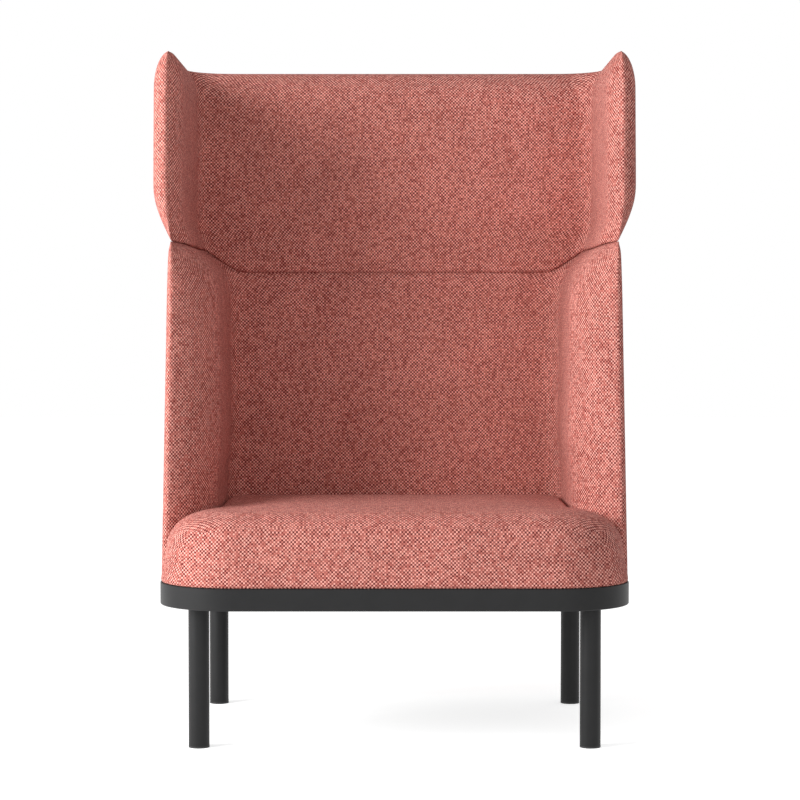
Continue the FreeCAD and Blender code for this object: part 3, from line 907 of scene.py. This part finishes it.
@dataclass
class LowerShell:
    """Padded wings and back round the seat, rolled over at the top."""

    foot: float = 0.2963
    seam: float = 0.9215
    roll_height: float = 0.110
    foot_half: float = 0.430
    seam_half: float = 0.418
    fullness: float = 0.0032
    fullness_reach: float = 0.022
    rear: float = 0.650
    rear_lean: float = 0.012
    corner: float = 0.140
    seam_corner: float = 0.130
    corner_hold: float = 0.55
    inner_corner: float = 0.038
    nose_depth: float = 0.146
    nose_rake: float = 0.08
    nose_edge: float = 0.022
    edge_bulge: float = 0.18
    crest_inset: float = 0.009
    sweep: float = 0.108
    sweep_bulge: float = 0.115
    least_share: float = 0.3
    wing_knots: tuple[Place, ...] = (
        (0.30, 0.336), (0.45, 0.334), (0.56, 0.3275), (0.70, 0.330), (0.8115, 0.333))
    back_knots: tuple[Place, ...] = ((0.30, 0.535), (0.43, 0.553), (0.60, 0.572), (0.8115, 0.602))
    wall_steps: int = 24
    roll_steps: int = 12
    last_roll: float = 86.0
    foot_round: float = 0.004
    foot_lip: float = 0.0008
    foot_lip_share: float = 0.3

    @property
    def roll_foot(self) -> float:
        """Height at which the top roll starts."""
        return self.seam - self.roll_height

    def rise(self, z: float) -> float:
        """Give how far up the shell a height is, from 0 at its foot to 1 at the seam."""
        return (z - self.foot) / (self.seam - self.foot)

    def outer_half(self, z: float) -> float:
        """Give the outer half width at a height: it swells a little up to a tuck at the seam."""
        return mix(self.foot_half, self.seam_half, self.rise(z)) + self.swelling(z)

    def swelling(self, z: float) -> float:
        """Give how far the outer side swells at a height."""
        tuck = smooth_share(z, self.seam - self.fullness_reach, self.seam)
        return self.fullness * self.rise(z) * (1 - tuck)

    def outer_depth(self, z: float) -> float:
        """Give the depth of the rear face at a height."""
        return self.rear + self.rear_lean * (z - self.foot) / (self.seam - self.foot) + self.swelling(z)

    def nose_line(self, z: float) -> float:
        """Give the depth of the raked front edge at a height."""
        return self.nose_depth + self.nose_rake * (z - self.foot)

    def section(self, z: float, roll: float = 0.0, grow: float = 0.0) -> Wall:
        """Cut the shell at a height.

        Args:
            z: The height.
            roll: Turn of the top roll, from 0 under it to a quarter turn at the seam.
            grow: How far all faces stand out from their true place.

        Returns:
            The section.
        """
        full = math.cos(roll)
        half, rear = self.outer_half(z), self.outer_depth(z)
        corner = mix(self.corner, self.seam_corner, self.rise(z))
        wing = (half - along(self.wing_knots, z)) * full
        back = (rear - along(self.back_knots, z)) * full
        least = mix(self.least_share, 1.0, full)
        inner_corner = mix(corner, self.inner_corner, min(1.0, full / self.corner_hold))
        nose = self.nose_line(z) + self.nose_edge * (1 - full)
        return Wall(
            half + grow, rear + grow, corner + grow, half - wing - grow, rear - back - grow,
            inner_corner - grow, nose - grow, self.nose_edge * least, half - self.crest_inset * full,
            self.sweep * least, self.edge_bulge * full, self.sweep_bulge * full)

    def levels(self) -> list[tuple[float, float, float]]:
        """Give the height, roll and growth of each ring from the foot to the top."""
        rings = [(self.foot, 0.0, -self.foot_round),
                 (self.foot + self.foot_lip, 0.0, -self.foot_lip_share * self.foot_round),
                 (self.foot + self.foot_round, 0.0, 0.0)]
        for step in range(1, self.wall_steps):
            rings.append((mix(self.foot + self.foot_round, self.roll_foot, step / self.wall_steps), 0.0, 0.0))
        for step in range(self.roll_steps + 1):
            roll = math.radians(self.last_roll * step / self.roll_steps)
            rings.append((self.roll_foot + self.roll_height * math.sin(roll), roll, 0.0))
        return rings

    def build(self, finishes: Finishes) -> bpy.types.Object:
        """Build the padded shell.

        Args:
            finishes: The materials.

        Returns:
            The piece.
        """
        loft = Loft.through([lifted(self.section(z, roll, grow).ring(), z)
                             for z, roll, grow in self.levels()])
        loft.lay_cloth_by_rings()
        piece = loft.finish("lower_shell", 1)
        finishes.dress(piece, finishes.wool)
        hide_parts("lower_inner_pad", "lower_outer_pad")
        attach(piece, "root")
        return piece


@dataclass
class Hood:
    """Padded panel that stands on the lower shell and swells out over it."""

    shell: LowerShell
    height: float = 1.2766
    crest_half: float = 0.422
    crest_depth: float = 0.655
    outer_bulge: float = 0.0295
    inner_bulge: float = 0.025
    back_bulge: float = 0.0580
    foot_recess: float = 0.0072
    recess_height: float = 0.085
    wing_flare: float = 0.014
    flare_height: float = 0.040
    corner: float = 0.125
    inner_corner: float = 0.030
    top_roll: float = 0.068
    foot_roll: float = 0.105
    edge: float = 0.040
    sweep: float = 0.052
    crest_inset: float = 0.025
    nose_roll: float = 0.012
    tuck: float = 0.001
    edge_share: float = 0.05
    foot_steps: int = 9
    wall_steps: int = 8
    roll_steps: int = 12
    last_roll: float = 86.0
    rest_gap: float = 0.0004
    lip_drop: float = 0.002
    crease: tuple[Place, ...] = (
        (0.0, 0.0080), (0.0008, 0.0060), (0.0025, 0.0028), (0.0055, 0.0008), (0.0100, 0.0))
    lines: tuple[tuple[float, float, float], ...] = (
        (0.235, 0.009, 0.0024), (0.148, 0.009, 0.0013), (0.324, 0.008, 0.0014))
    line_foot: Place = (0.95, 1.0)
    line_top: Place = (1.16, 1.25)
    line_skin: float = 0.004
    line_margin: float = 0.06

    def section(self, z: float, half: float, rear: float, corner: float, bend: float, setback: float,
                outer_share: float, inner_share: float) -> Wall:
        """Cut the hood at a height.

        Args:
            z: The height.
            half: Outer half width.
            rear: Depth of the rear face.
            corner: Radius of the outer rear corners.
            bend: Radius of the inner rear corners.
            setback: How far the nose stands behind the raked line.
            outer_share: How far the hood swells out, from 0 to 1.
            inner_share: How far it swells in.

        Returns:
            The section.
        """
        shell = self.shell
        full = min(outer_share, inner_share)
        return Wall(
            half, rear, corner, self.crest_half - self.inner_bulge * inner_share,
            self.crest_depth - self.back_bulge * inner_share, bend, shell.nose_line(z) + setback,
            self.edge * mix(shell.least_share, 1.0, outer_share), half - self.crest_inset * outer_share,
            self.sweep * mix(shell.least_share, 1.0, inner_share), shell.edge_bulge * full,
            shell.sweep_bulge * full)

    def foot_section(self, share: float) -> tuple[float, Wall]:
        """Cut the drawn-in foot.

        Args:
            share: How far up the foot, from 0 at the seam to 1 where it is full.

        Returns:
            The height and the section.
        """
        shell = self.shell
        swell = math.sin(QUARTER * share)
        rise = self.foot_roll * share
        z = shell.seam + rise
        seam_corner = shell.seam_corner - self.tuck
        wall = self.section(
            z, mix(shell.seam_half - self.tuck, self.crest_half + self.outer_bulge, swell),
            mix(shell.rear + shell.rear_lean - self.tuck, self.crest_depth + self.outer_bulge, swell),
            mix(seam_corner, self.corner, swell), self.inner_corner,
            shell.nose_edge * (1 - swell), max(self.edge_share, swell), 1.0)
        recess = self.foot_recess * (1 - smooth_share(rise, 0.0, self.recess_height))
        flare = self.wing_flare * (1 - smooth_share(rise, 0.0, self.flare_height))
        return z, replace(wall, inner_half=wall.inner_half - flare, inner_depth=wall.inner_depth + recess)

    def top_section(self, roll: float) -> tuple[float, Wall]:
        """Cut the top roll.

        Args:
            roll: Turn of the roll, a quarter turn at its top.

        Returns:
            The height and the section.
        """
        share = math.cos(roll)
        drawn = self.outer_bulge * (1 - share)
        z = self.height - self.top_roll * (1 - math.sin(roll))
        return z, self.section(
            z, self.crest_half + self.outer_bulge - drawn, self.crest_depth + self.outer_bulge - drawn,
            self.corner - drawn, mix(self.corner - self.outer_bulge, self.inner_corner, share),
            self.nose_roll * (1 - share), share, share)

    def levels(self) -> list[tuple[float, Wall]]:
        """Give the height and section of each ring from just over the seam to the top."""
        rings = [self.foot_section(step / self.foot_steps) for step in range(1, self.foot_steps + 1)]
        low, full = rings[-1]
        high = self.height - self.top_roll
        for step in range(1, self.wall_steps):
            z = mix(low, high, step / self.wall_steps)
            rings.append((z, self.section(
                z, full.outer_half, full.outer_depth, self.corner, self.inner_corner, 0.0, 1.0, 1.0)))
        for step in range(self.roll_steps + 1):
            rings.append(self.top_section(math.radians(self.last_roll * step / self.roll_steps)))
        return rings

    def foot_places(self, rise: float, drawn: float, under: bpy.types.Object,
                    lowest: Sequence[Vector] = ()) -> list[Vector]:
        """Lay a ring of the foot on the rolled top of the shell, or a little over it.

        Args:
            rise: How far over the shell.
            drawn: How far the inner side and the nose are drawn back into the crease.
            under: The shell piece.
            lowest: The ring that rests on the shell, which the others stay over.

        Returns:
            The points of the ring.
        """
        _, wall = self.foot_section(rise / self.foot_roll)
        wall = replace(wall, inner_half=wall.inner_half + drawn, inner_depth=wall.inner_depth + drawn,
                       inner_corner=wall.inner_corner + drawn, nose=wall.nose + drawn)
        ring = wall.ring()
        places = []
        for index, (x, depth) in enumerate(ring):
            low = self.shell.seam
            if index > len(ring) // 2:
                hit, spot, _, _ = under.ray_cast(at(x, depth, self.height), Vector((0, 0, -1)))
                if hit and spot.z > self.shell.roll_foot:
                    low = min(low, spot.z + self.rest_gap)
            if lowest:
                low = max(low, lowest[index].z - self.lip_drop)
            places.append(at(x, depth, low + rise))
        return places

    def tension(self, x: float, z: float) -> float:
        """Give how far the cover is drawn back by the faint upright tension lines of the inner back."""
        reach = smooth_share(z, *self.line_foot) * (1 - smooth_share(z, *self.line_top))
        return sum(bell(abs(x), place, width) * size for place, width, size in self.lines) * reach

    def build(self, finishes: Finishes, under: bpy.types.Object) -> bpy.types.Object:
        """Build the padded hood.

        Args:
            finishes: The materials.
            under: The shell piece that it stands on.

        Returns:
            The piece.
        """
        rings = [self.foot_places(*self.crease[0], under)]
        rings += [self.foot_places(rise, drawn, under, rings[0]) for rise, drawn in self.crease[1:]]
        rings += [lifted(wall.ring(), z) for z, wall in self.levels()]
        loft = Loft.through(rings)
        loft.lay_cloth_by_rings()
        piece = loft.finish("hood", 1)
        inner = self.crest_depth - self.back_bulge - CENTRE_DEPTH
        for vertex in piece.data.vertices:
            place = vertex.co
            if abs(place.y - inner) < self.line_skin and abs(place.x) < self.crest_half - self.line_margin:
                place.y += self.tension(place.x, place.z)
        finishes.dress(piece, finishes.wool)
        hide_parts("hood_inner_pad", "hood_outer_pad")
        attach(piece, "root")
        return piece


@dataclass
class SeatCushion:
    """Cushion with a rolled front, low crown and a narrower rear part between the wings."""

    shell: LowerShell
    foot: float = 0.2964
    deck_top: float = 0.3125
    deck_inset: float = 0.007
    half: float = 0.430
    height: float = 0.4295
    crown: float = 0.005
    roll: float = 0.094
    roll_height: float = 0.0845
    roll_power: float = 2.4
    lean: float = 0.0065
    lean_steps: int = 4
    foot_inset: float = 0.001
    corner: float = 0.140
    corner_share: float = 0.9
    gap: float = 0.0015
    neck_round: float = 0.016
    roll_steps: int = 12
    crown_steps: int = 10
    front_count: int = 26
    corner_count: int = 16
    flank_count: int = 4
    sweep_count: int = 10
    wing_count: int = 16
    bend_count: int = 6
    rear_count: int = 22
    meet_count: int = 2
    sweep_samples: int = 40
    sweep_room: float = 0.002
    flank_room: float = 0.004
    least_flank: float = 0.001
    rim_round: float = 0.002
    rim_height: float = 0.006
    rim_insets: Place = (0.003, 0.0006)
    centre_depth: float = 0.30
    crown_end: float = 0.97
    crown_full: float = 0.6
    held_band: float = 0.012
    beside_depth: Place = (0.09, 0.17)
    beside_half: Place = (0.22, 0.31)
    behind_depth: Place = (0.42, 0.52)
    foot_reach: float = 0.04

    def freedom(self, place: Vector) -> float:
        """Give how freely the cover may swell at a point: not where the shell lies close against it."""
        depth = place.y + CENTRE_DEPTH
        beside = smooth_share(depth, *self.beside_depth) * smooth_share(abs(place.x), *self.beside_half)
        behind = smooth_share(depth, *self.behind_depth)
        return (1 - beside) * (1 - behind) * smooth_share(place.z, self.foot, self.foot + self.foot_reach)

    def half_ring(self, z: float, inset: float, neck_inset: float, radius: float) -> list[Place]:
        """Give the right half of the outline from the middle of the front to the middle of the rear.

        Args:
            z: Height of the outline, which says where the wings stand.
            inset: How far the front and sides are drawn in.
            neck_inset: How far the part between the wings is drawn in.
            radius: Radius of the front corners.

        Returns:
            The places in order, both ends on the middle line.
        """
        wall = self.shell.section(z, 0.0, self.gap + neck_inset)
        half = self.half - inset
        sweep_end = (wall.inner_half, wall.nose + wall.sweep_length)
        whole = bowed((wall.crest_half, wall.nose), sweep_end, wall.sweep_bulge, self.sweep_samples)
        shown = [place for place in whole + [sweep_end] if place[0] < half - self.sweep_room] or [sweep_end]
        meet = shown[0]
        flank_end = (half, max(min(meet[1] - self.flank_room, wall.nose + self.flank_room),
                               inset + radius + self.least_flank))
        bend = (wall.inner_half - wall.inner_corner, wall.inner_depth - wall.inner_corner)
        places = straight((0.0, inset), (half - radius, inset), self.front_count)
        places += cornered((half - radius, inset + radius), radius, -90, 0, self.corner_count)
        places += straight((half, inset + radius), flank_end, self.flank_count)
        places += straight(flank_end, meet, self.meet_count)
        for index in range(self.sweep_count):
            spot = index / self.sweep_count * (len(shown) - 1)
            low = int(spot)
            a, b = shown[low], shown[min(low + 1, len(shown) - 1)]
            places.append((mix(a[0], b[0], spot - low), mix(a[1], b[1], spot - low)))
        places += straight(sweep_end, (wall.inner_half, bend[1]), self.wing_count)
        places += cornered(bend, wall.inner_corner, 0, 90, self.bend_count)
        places += straight((bend[0], wall.inner_depth), (0.0, wall.inner_depth), self.rear_count)
        return places + [(0.0, wall.inner_depth)]

    def ring(self, z: float, inset: float, neck_inset: float, radius: float) -> list[Place]:
        """Give the closed outline."""
        right = self.half_ring(z, inset, neck_inset, radius)
        return right + [(-x, d) for x, d in reversed(right[1:-1])]

    def rim(self) -> list[Place]:
        """Give the height and inset of the rings from the deck, under the rim and out to the side."""
        turn, deck, side = self.rim_round, self.deck_inset, self.foot_inset
        return [(self.deck_top, deck + 2 * turn), (self.foot + turn, deck + turn), (self.foot, deck - turn),
                (self.foot, side + self.rim_insets[0]), (self.foot + turn, side + self.rim_insets[1]),
                (self.foot + self.rim_height, side)]

    def rings(self) -> list[list[Vector]]:
        """Give the rings from the rim on the deck, up the roll and over the crown."""
        crown_foot = self.height - self.crown
        side_foot = crown_foot - self.roll_height
        rings = [lifted(self.ring(self.foot, inset, 0.0, self.corner - inset), z) for z, inset in self.rim()]
        for step in range(1, self.lean_steps):
            share = step / self.lean_steps
            inset = self.foot_inset + self.lean * share
            z = mix(self.foot + self.rim_height, side_foot, share)
            rings.append(lifted(self.ring(z, inset, 0.0, self.corner - inset), z))
        for step in range(self.roll_steps + 1):
            turn = QUARTER * step / self.roll_steps
            z = side_foot + self.roll_height * math.sin(turn) ** (2 / self.roll_power)
            inset = self.foot_inset + self.lean \
                + self.roll * (1 - max(0.0, math.cos(turn)) ** (2 / self.roll_power))
            over = z - (crown_foot - self.neck_round)
            neck = 0.0
            if over > 0:
                neck = self.neck_round - math.sqrt(max(0.0, self.neck_round ** 2 - over * over))
            radius = self.corner - inset * self.corner_share
            rings.append(lifted(self.ring(z, inset, neck, radius), z))
        top = rings[-1]
        centre = at(0.0, self.centre_depth, 0.0)
        for step in range(1, self.crown_steps + 1):
            share = step / self.crown_steps * self.crown_end
            z = crown_foot + self.crown * math.sin(min(1.0, share / self.crown_full) * QUARTER)
            rings.append([Vector((mix(p.x, centre.x, share), mix(p.y, centre.y, share), z)) for p in top])
        return rings

    def build(self, finishes: Finishes) -> bpy.types.Object:
        """Build the cushion.

        Args:
            finishes: The materials.

        Returns:
            The piece.
        """
        loft = Loft.through(self.rings())
        loft.lay_cloth(boxed_run)
        piece = loft.finish("seat_cushion", 1)
        Plump().swell(piece, lambda place: place.z < self.foot + self.held_band, self.freedom)
        finishes.dress(piece, finishes.wool)
        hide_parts("seat_cover", "seat_foam_firm", "seat_foam_soft")
        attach(piece, "root")
        return piece


@dataclass
class DustCloth:
    """Thin black cloth pulled tight under the seat deck and stapled near its edge."""

    pitch: float = 0.02
    thickness: float = 0.0006
    under_deck: float = 0.0001
    sag: float = 0.0022
    staple_length: float = 0.010
    staple_width: float = 0.0013
    staple_depth: float = 0.0006
    staple_inset: float = 0.013
    staple_pitch: float = 0.050
    staple_sink: float = 0.4
    staple_bevel: float = 0.3
    corner_room: float = 0.25
    step_depth: float = 0.158
    step_room: float = 0.085
    side_room: Place = (0.19, 0.12)
    span_room: Place = (0.01, 0.07)
    ripple: float = 0.25
    waves: tuple[Place, Place] = ((31.0, 9.0), (-7.0, 17.0))
    facing: float = 0.9

    def sagging(self, x: float, y: float) -> float:
        """Give how far the cloth hangs away from the deck between the rails, plates and band."""
        low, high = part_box("dust_cover")
        depths = [low[1]]
        for name in ("cross_rail_front", "cross_rail_rear"):
            first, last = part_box(name)
            depths += [first[1], last[1]]
        depths.append(high[1])
        across = 1 - smooth_share(abs(x), high[0] - self.side_room[0], high[0] - self.side_room[1])
        near, far = self.span_room
        span = 0.0
        for start, end in zip(depths[0::2], depths[1::2]):
            span += smooth_share(y, start + near, start + far) * (1 - smooth_share(y, end - far, end - near))
        first, second = (math.sin(a * x + b * y) for a, b in self.waves)
        return self.sag * across * span * (1 - self.ripple + self.ripple * first * second)

    def cloth(self) -> tuple[bpy.types.Object, float]:
        """Cut the cloth to the deck's outline and holes, and let it sag.

        Returns:
            The piece and the area of its cut.
        """
        low, high = (Vector(corner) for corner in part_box("dust_cover"))
        mesh = bmesh.new()
        mesh.from_mesh(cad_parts["dust_cover"].data)
        bmesh.ops.remove_doubles(mesh, verts=mesh.verts, dist=1e-6)
        mesh.normal_update()
        away = [face for face in mesh.faces if face.normal.z > -self.facing]
        bmesh.ops.delete(mesh, geom=away, context="FACES")
        bmesh.ops.dissolve_limit(mesh, angle_limit=0.01, verts=mesh.verts, edges=mesh.edges)
        for axis in (0, 1):
            normal = Vector((axis == 0, axis == 1, 0))
            for index in range(1, int((high[axis] - low[axis]) / self.pitch) + 1):
                place = low.copy()
                place[axis] += index * self.pitch
                bmesh.ops.bisect_plane(mesh, geom=mesh.verts[:] + mesh.edges[:] + mesh.faces[:],
                                       plane_co=place, plane_no=normal)
        area = sum(face.calc_area() for face in mesh.faces)
        for vertex in mesh.verts:
            vertex.co.z = high.z - self.under_deck - self.thickness - self.sagging(vertex.co.x, vertex.co.y)
        bmesh.ops.solidify(mesh, geom=mesh.faces[:], thickness=-self.thickness)
        bmesh.ops.recalc_face_normals(mesh, faces=mesh.faces)
        return self.shown(mesh, "dust_cloth"), area

    @staticmethod
    def shown(mesh: bmesh.types.BMesh, name: str) -> bpy.types.Object:
        """Turn a mesh into a shown piece that rides on the chair.

        Args:
            mesh: The mesh.
            name: Name of the piece.

        Returns:
            The piece.
        """
        piece = show(mesh, name)
        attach(piece, "root")
        return piece

    def staple_places(self) -> list[tuple[float, float, bool]]:
        """Give the middle of each staple, and whether it lies along the depth."""
        low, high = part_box("dust_cover")
        front, back = low[1] + self.staple_inset, high[1] - self.staple_inset
        row_end = high[0] - self.corner_room
        first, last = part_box("cross_rail_front")[1][1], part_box("cross_rail_rear")[0][1]
        places = []
        count = int(row_end / self.staple_pitch)
        for index in range(-count, count + 1):
            places += [(index * self.staple_pitch, front, False), (index * self.staple_pitch, back, False)]
        rows = int((last - first - self.staple_pitch) / self.staple_pitch)
        for index in range(rows):
            y = first + (index + 1) * (last - first) / (rows + 1)
            places += [(side * self.side_edge(y), y, True) for side in (-1, 1)]
        return places

    def side_edge(self, y: float) -> float:
        """Give how far out a side's staples stand at a depth: the cloth's sides step in behind the noses."""
        if y + CENTRE_DEPTH < self.step_depth:
            return max(abs(v.co.x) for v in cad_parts["dust_cover"].data.vertices) - self.staple_inset
        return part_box("seat_deck")[1][0] - self.step_room - self.staple_inset

    def staples(self) -> bpy.types.Object:
        """Make the staples."""
        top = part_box("dust_cover")[1][2]
        mesh = bmesh.new()
        for x, y, turned in self.staple_places():
            made = bmesh.ops.create_cube(mesh, size=1.0)["verts"]
            size = (self.staple_length, self.staple_width, self.staple_depth)
            bmesh.ops.scale(mesh, verts=made, vec=(size[1], size[0], size[2]) if turned else size)
            z = top - self.under_deck - self.thickness - self.sagging(x, y) \
                - self.staple_depth * self.staple_sink
            bmesh.ops.translate(mesh, verts=made, vec=(x, y, z))
        bmesh.ops.bevel(mesh, geom=mesh.edges[:], offset=self.staple_depth * self.staple_bevel,
                        affect="EDGES", segments=1, profile=0.5, material=-1)
        return self.shown(mesh, "dust_cloth_staples")

    def build(self, finishes: Finishes) -> bpy.types.Object:
        """Build the cloth and its staples.

        Args:
            finishes: The materials.

        Returns:
            The cloth.
        """
        cloth, area = self.cloth()
        staples = self.staples()
        finishes.dress(cloth, finishes.cloth)
        finishes.dress(staples, finishes.zinc)
        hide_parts("dust_cover")
        LOG.info("dust cloth is %.3f square metres", area)
        return cloth


class Frame:
    """Steel base, deck, boards and fasteners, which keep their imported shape."""

    def dress(self, finishes: Finishes) -> None:
        """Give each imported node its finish.

        Args:
            finishes: The materials.
        """
        for names, material in (
                (("base_band", "corner_plate_", "cross_rail_", "leg_front", "leg_rear"), finishes.coat),
                (("glide_",), finishes.nylon),
                (("leg_bolts", "leg_washers", "deck_bolts", "deck_inserts", "shell_screws", "joining_straps",
                  "strap_screws"), finishes.zinc),
                (("seat_deck", "lower_board", "hood_board"), finishes.ply)):
            for name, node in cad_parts.items():
                if name.startswith(names):
                    finishes.dress(node, material)
                    LOG.info("dressed %s", name)


@dataclass
class Studio:
    """Pale floor, soft lamps and the camera."""

    lens: float = 106.15
    camera_depth: float = -4.182
    camera_height: float = 0.7766
    pitch: float = 1.967
    shift: float = 0.0067
    floor_reach: float = 14.0
    floor_glow: float = 0.64
    fill: float = 0.43
    seen_fill: float = 0.57
    aim: tuple[float, float] = (0.3, 0.75)
    lamps: tuple[tuple[str, tuple[float, float, float], float, float], ...] = (
        ("key", (-2.9, -1.5, 1.7), 2.2, 150.0), ("front", (0.9, -3.8, 1.7), 2.4, 20.0))

    @staticmethod
    def seen(n: Nodes) -> bpy.types.NodeSocket:
        """Give 1 where the camera sees straight, by reflection or through something, and else 0."""
        path = n.add("LightPath").outputs
        seen = n.sum("MAXIMUM", path["Is Camera Ray"], path["Is Glossy Ray"])
        return n.sum("MAXIMUM", seen, path["Is Transmission Ray"])

    def floor(self) -> None:
        """Lay the floor, white to the camera but for the chair's shadow."""
        mesh = bmesh.new()
        bmesh.ops.create_grid(mesh, x_segments=1, y_segments=1, size=self.floor_reach)
        floor = show(mesh, "floor")
        material = bpy.data.materials.new("studio_floor")
        material.use_nodes = True
        material.node_tree.nodes.clear()
        n = Nodes(material.node_tree)
        grain = n.add("TexNoise", Vector=n.add("TexCoord").outputs["Object"], Scale=3.0).outputs[0]
        pale = n.colour_mix(n.band(grain, 0.3, 0.7), (0.90, 0.90, 0.90), (0.92, 0.92, 0.92))
        matt = n.add("BsdfDiffuse", Color=pale)
        glow = n.add("Emission", Color=(1.0, 1.0, 1.0, 1.0), Strength=self.floor_glow)
        both = n.add("AddShader", s0=matt.outputs[0], s1=glow.outputs[0])
        shown = n.add("MixShader", s0=self.seen(n), s1=matt.outputs[0], s2=both.outputs[0])
        output = n.add("OutputMaterial")
        n.tree.links.new(shown.outputs[0], output.inputs[0])
        floor.data.materials.append(material)

    def world(self) -> None:
        """Fill the room with soft light, white where the camera sees it."""
        world = bpy.data.worlds.new("studio")
        bpy.context.scene.world = world
        world.use_nodes = True
        world.node_tree.nodes.clear()
        n = Nodes(world.node_tree)
        strength = n.sum("MULTIPLY_ADD", self.seen(n), self.seen_fill, self.fill)
        back = n.add("Background", Color=(1.0, 1.0, 1.0, 1.0), Strength=strength)
        n.tree.links.new(back.outputs[0], n.add("OutputWorld").inputs[0])

    def lamp(self, name: str, place: Vector, target: Vector, size: float, power: float) -> None:
        """Hang a square soft lamp.

        Args:
            name: Name of the lamp.
            place: Where it hangs.
            target: What it points at.
            size: Length of its side.
            power: Its power in watts.
        """
        data = bpy.data.lights.new(name, "AREA")
        data.shape = "SQUARE"
        data.size = size
        data.energy = power
        lamp = bpy.data.objects.new(name, data)
        lamp.location = place
        lamp.rotation_euler = (target - place).to_track_quat("-Z", "Y").to_euler()
        bpy.context.scene.collection.objects.link(lamp)

    def camera(self) -> None:
        """Stand the camera where the photograph was taken."""
        data = bpy.data.cameras.new("camera")
        data.lens = self.lens
        data.sensor_width = 36.0
        data.shift_x = self.shift
        camera = bpy.data.objects.new("camera", data)
        camera.location = at(0.0, self.camera_depth, self.camera_height)
        camera.rotation_euler = (QUARTER - math.radians(self.pitch), 0.0, 0.0)
        bpy.context.scene.collection.objects.link(camera)
        bpy.context.scene.camera = camera

    def build(self) -> None:
        """Set up the studio."""
        self.floor()
        self.world()
        for name, place, size, power in self.lamps:
            self.lamp(name, Vector(place), at(0.0, *self.aim), size, power)
        self.camera()
        bpy.context.scene.view_settings.view_transform = "Standard"


def main() -> None:
    """Build the chair's soft pieces, dress the frame and set up the studio."""
    logging.basicConfig(level=logging.INFO, format="%(name)s: %(message)s")
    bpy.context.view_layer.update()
    finishes = Finishes()
    Frame().dress(finishes)
    shell = LowerShell()
    shell_piece = shell.build(finishes)
    LOG.info("built %s", shell_piece.name)
    hood_piece = Hood(shell).build(finishes, shell_piece)
    LOG.info("built %s", hood_piece.name)
    cushion_piece = SeatCushion(shell).build(finishes)
    LOG.info("built %s", cushion_piece.name)
    LOG.info("built %s", DustCloth().build(finishes).name)
    Studio().build()
    bpy.context.view_layer.update()


if __name__ == "__main__":
    main()
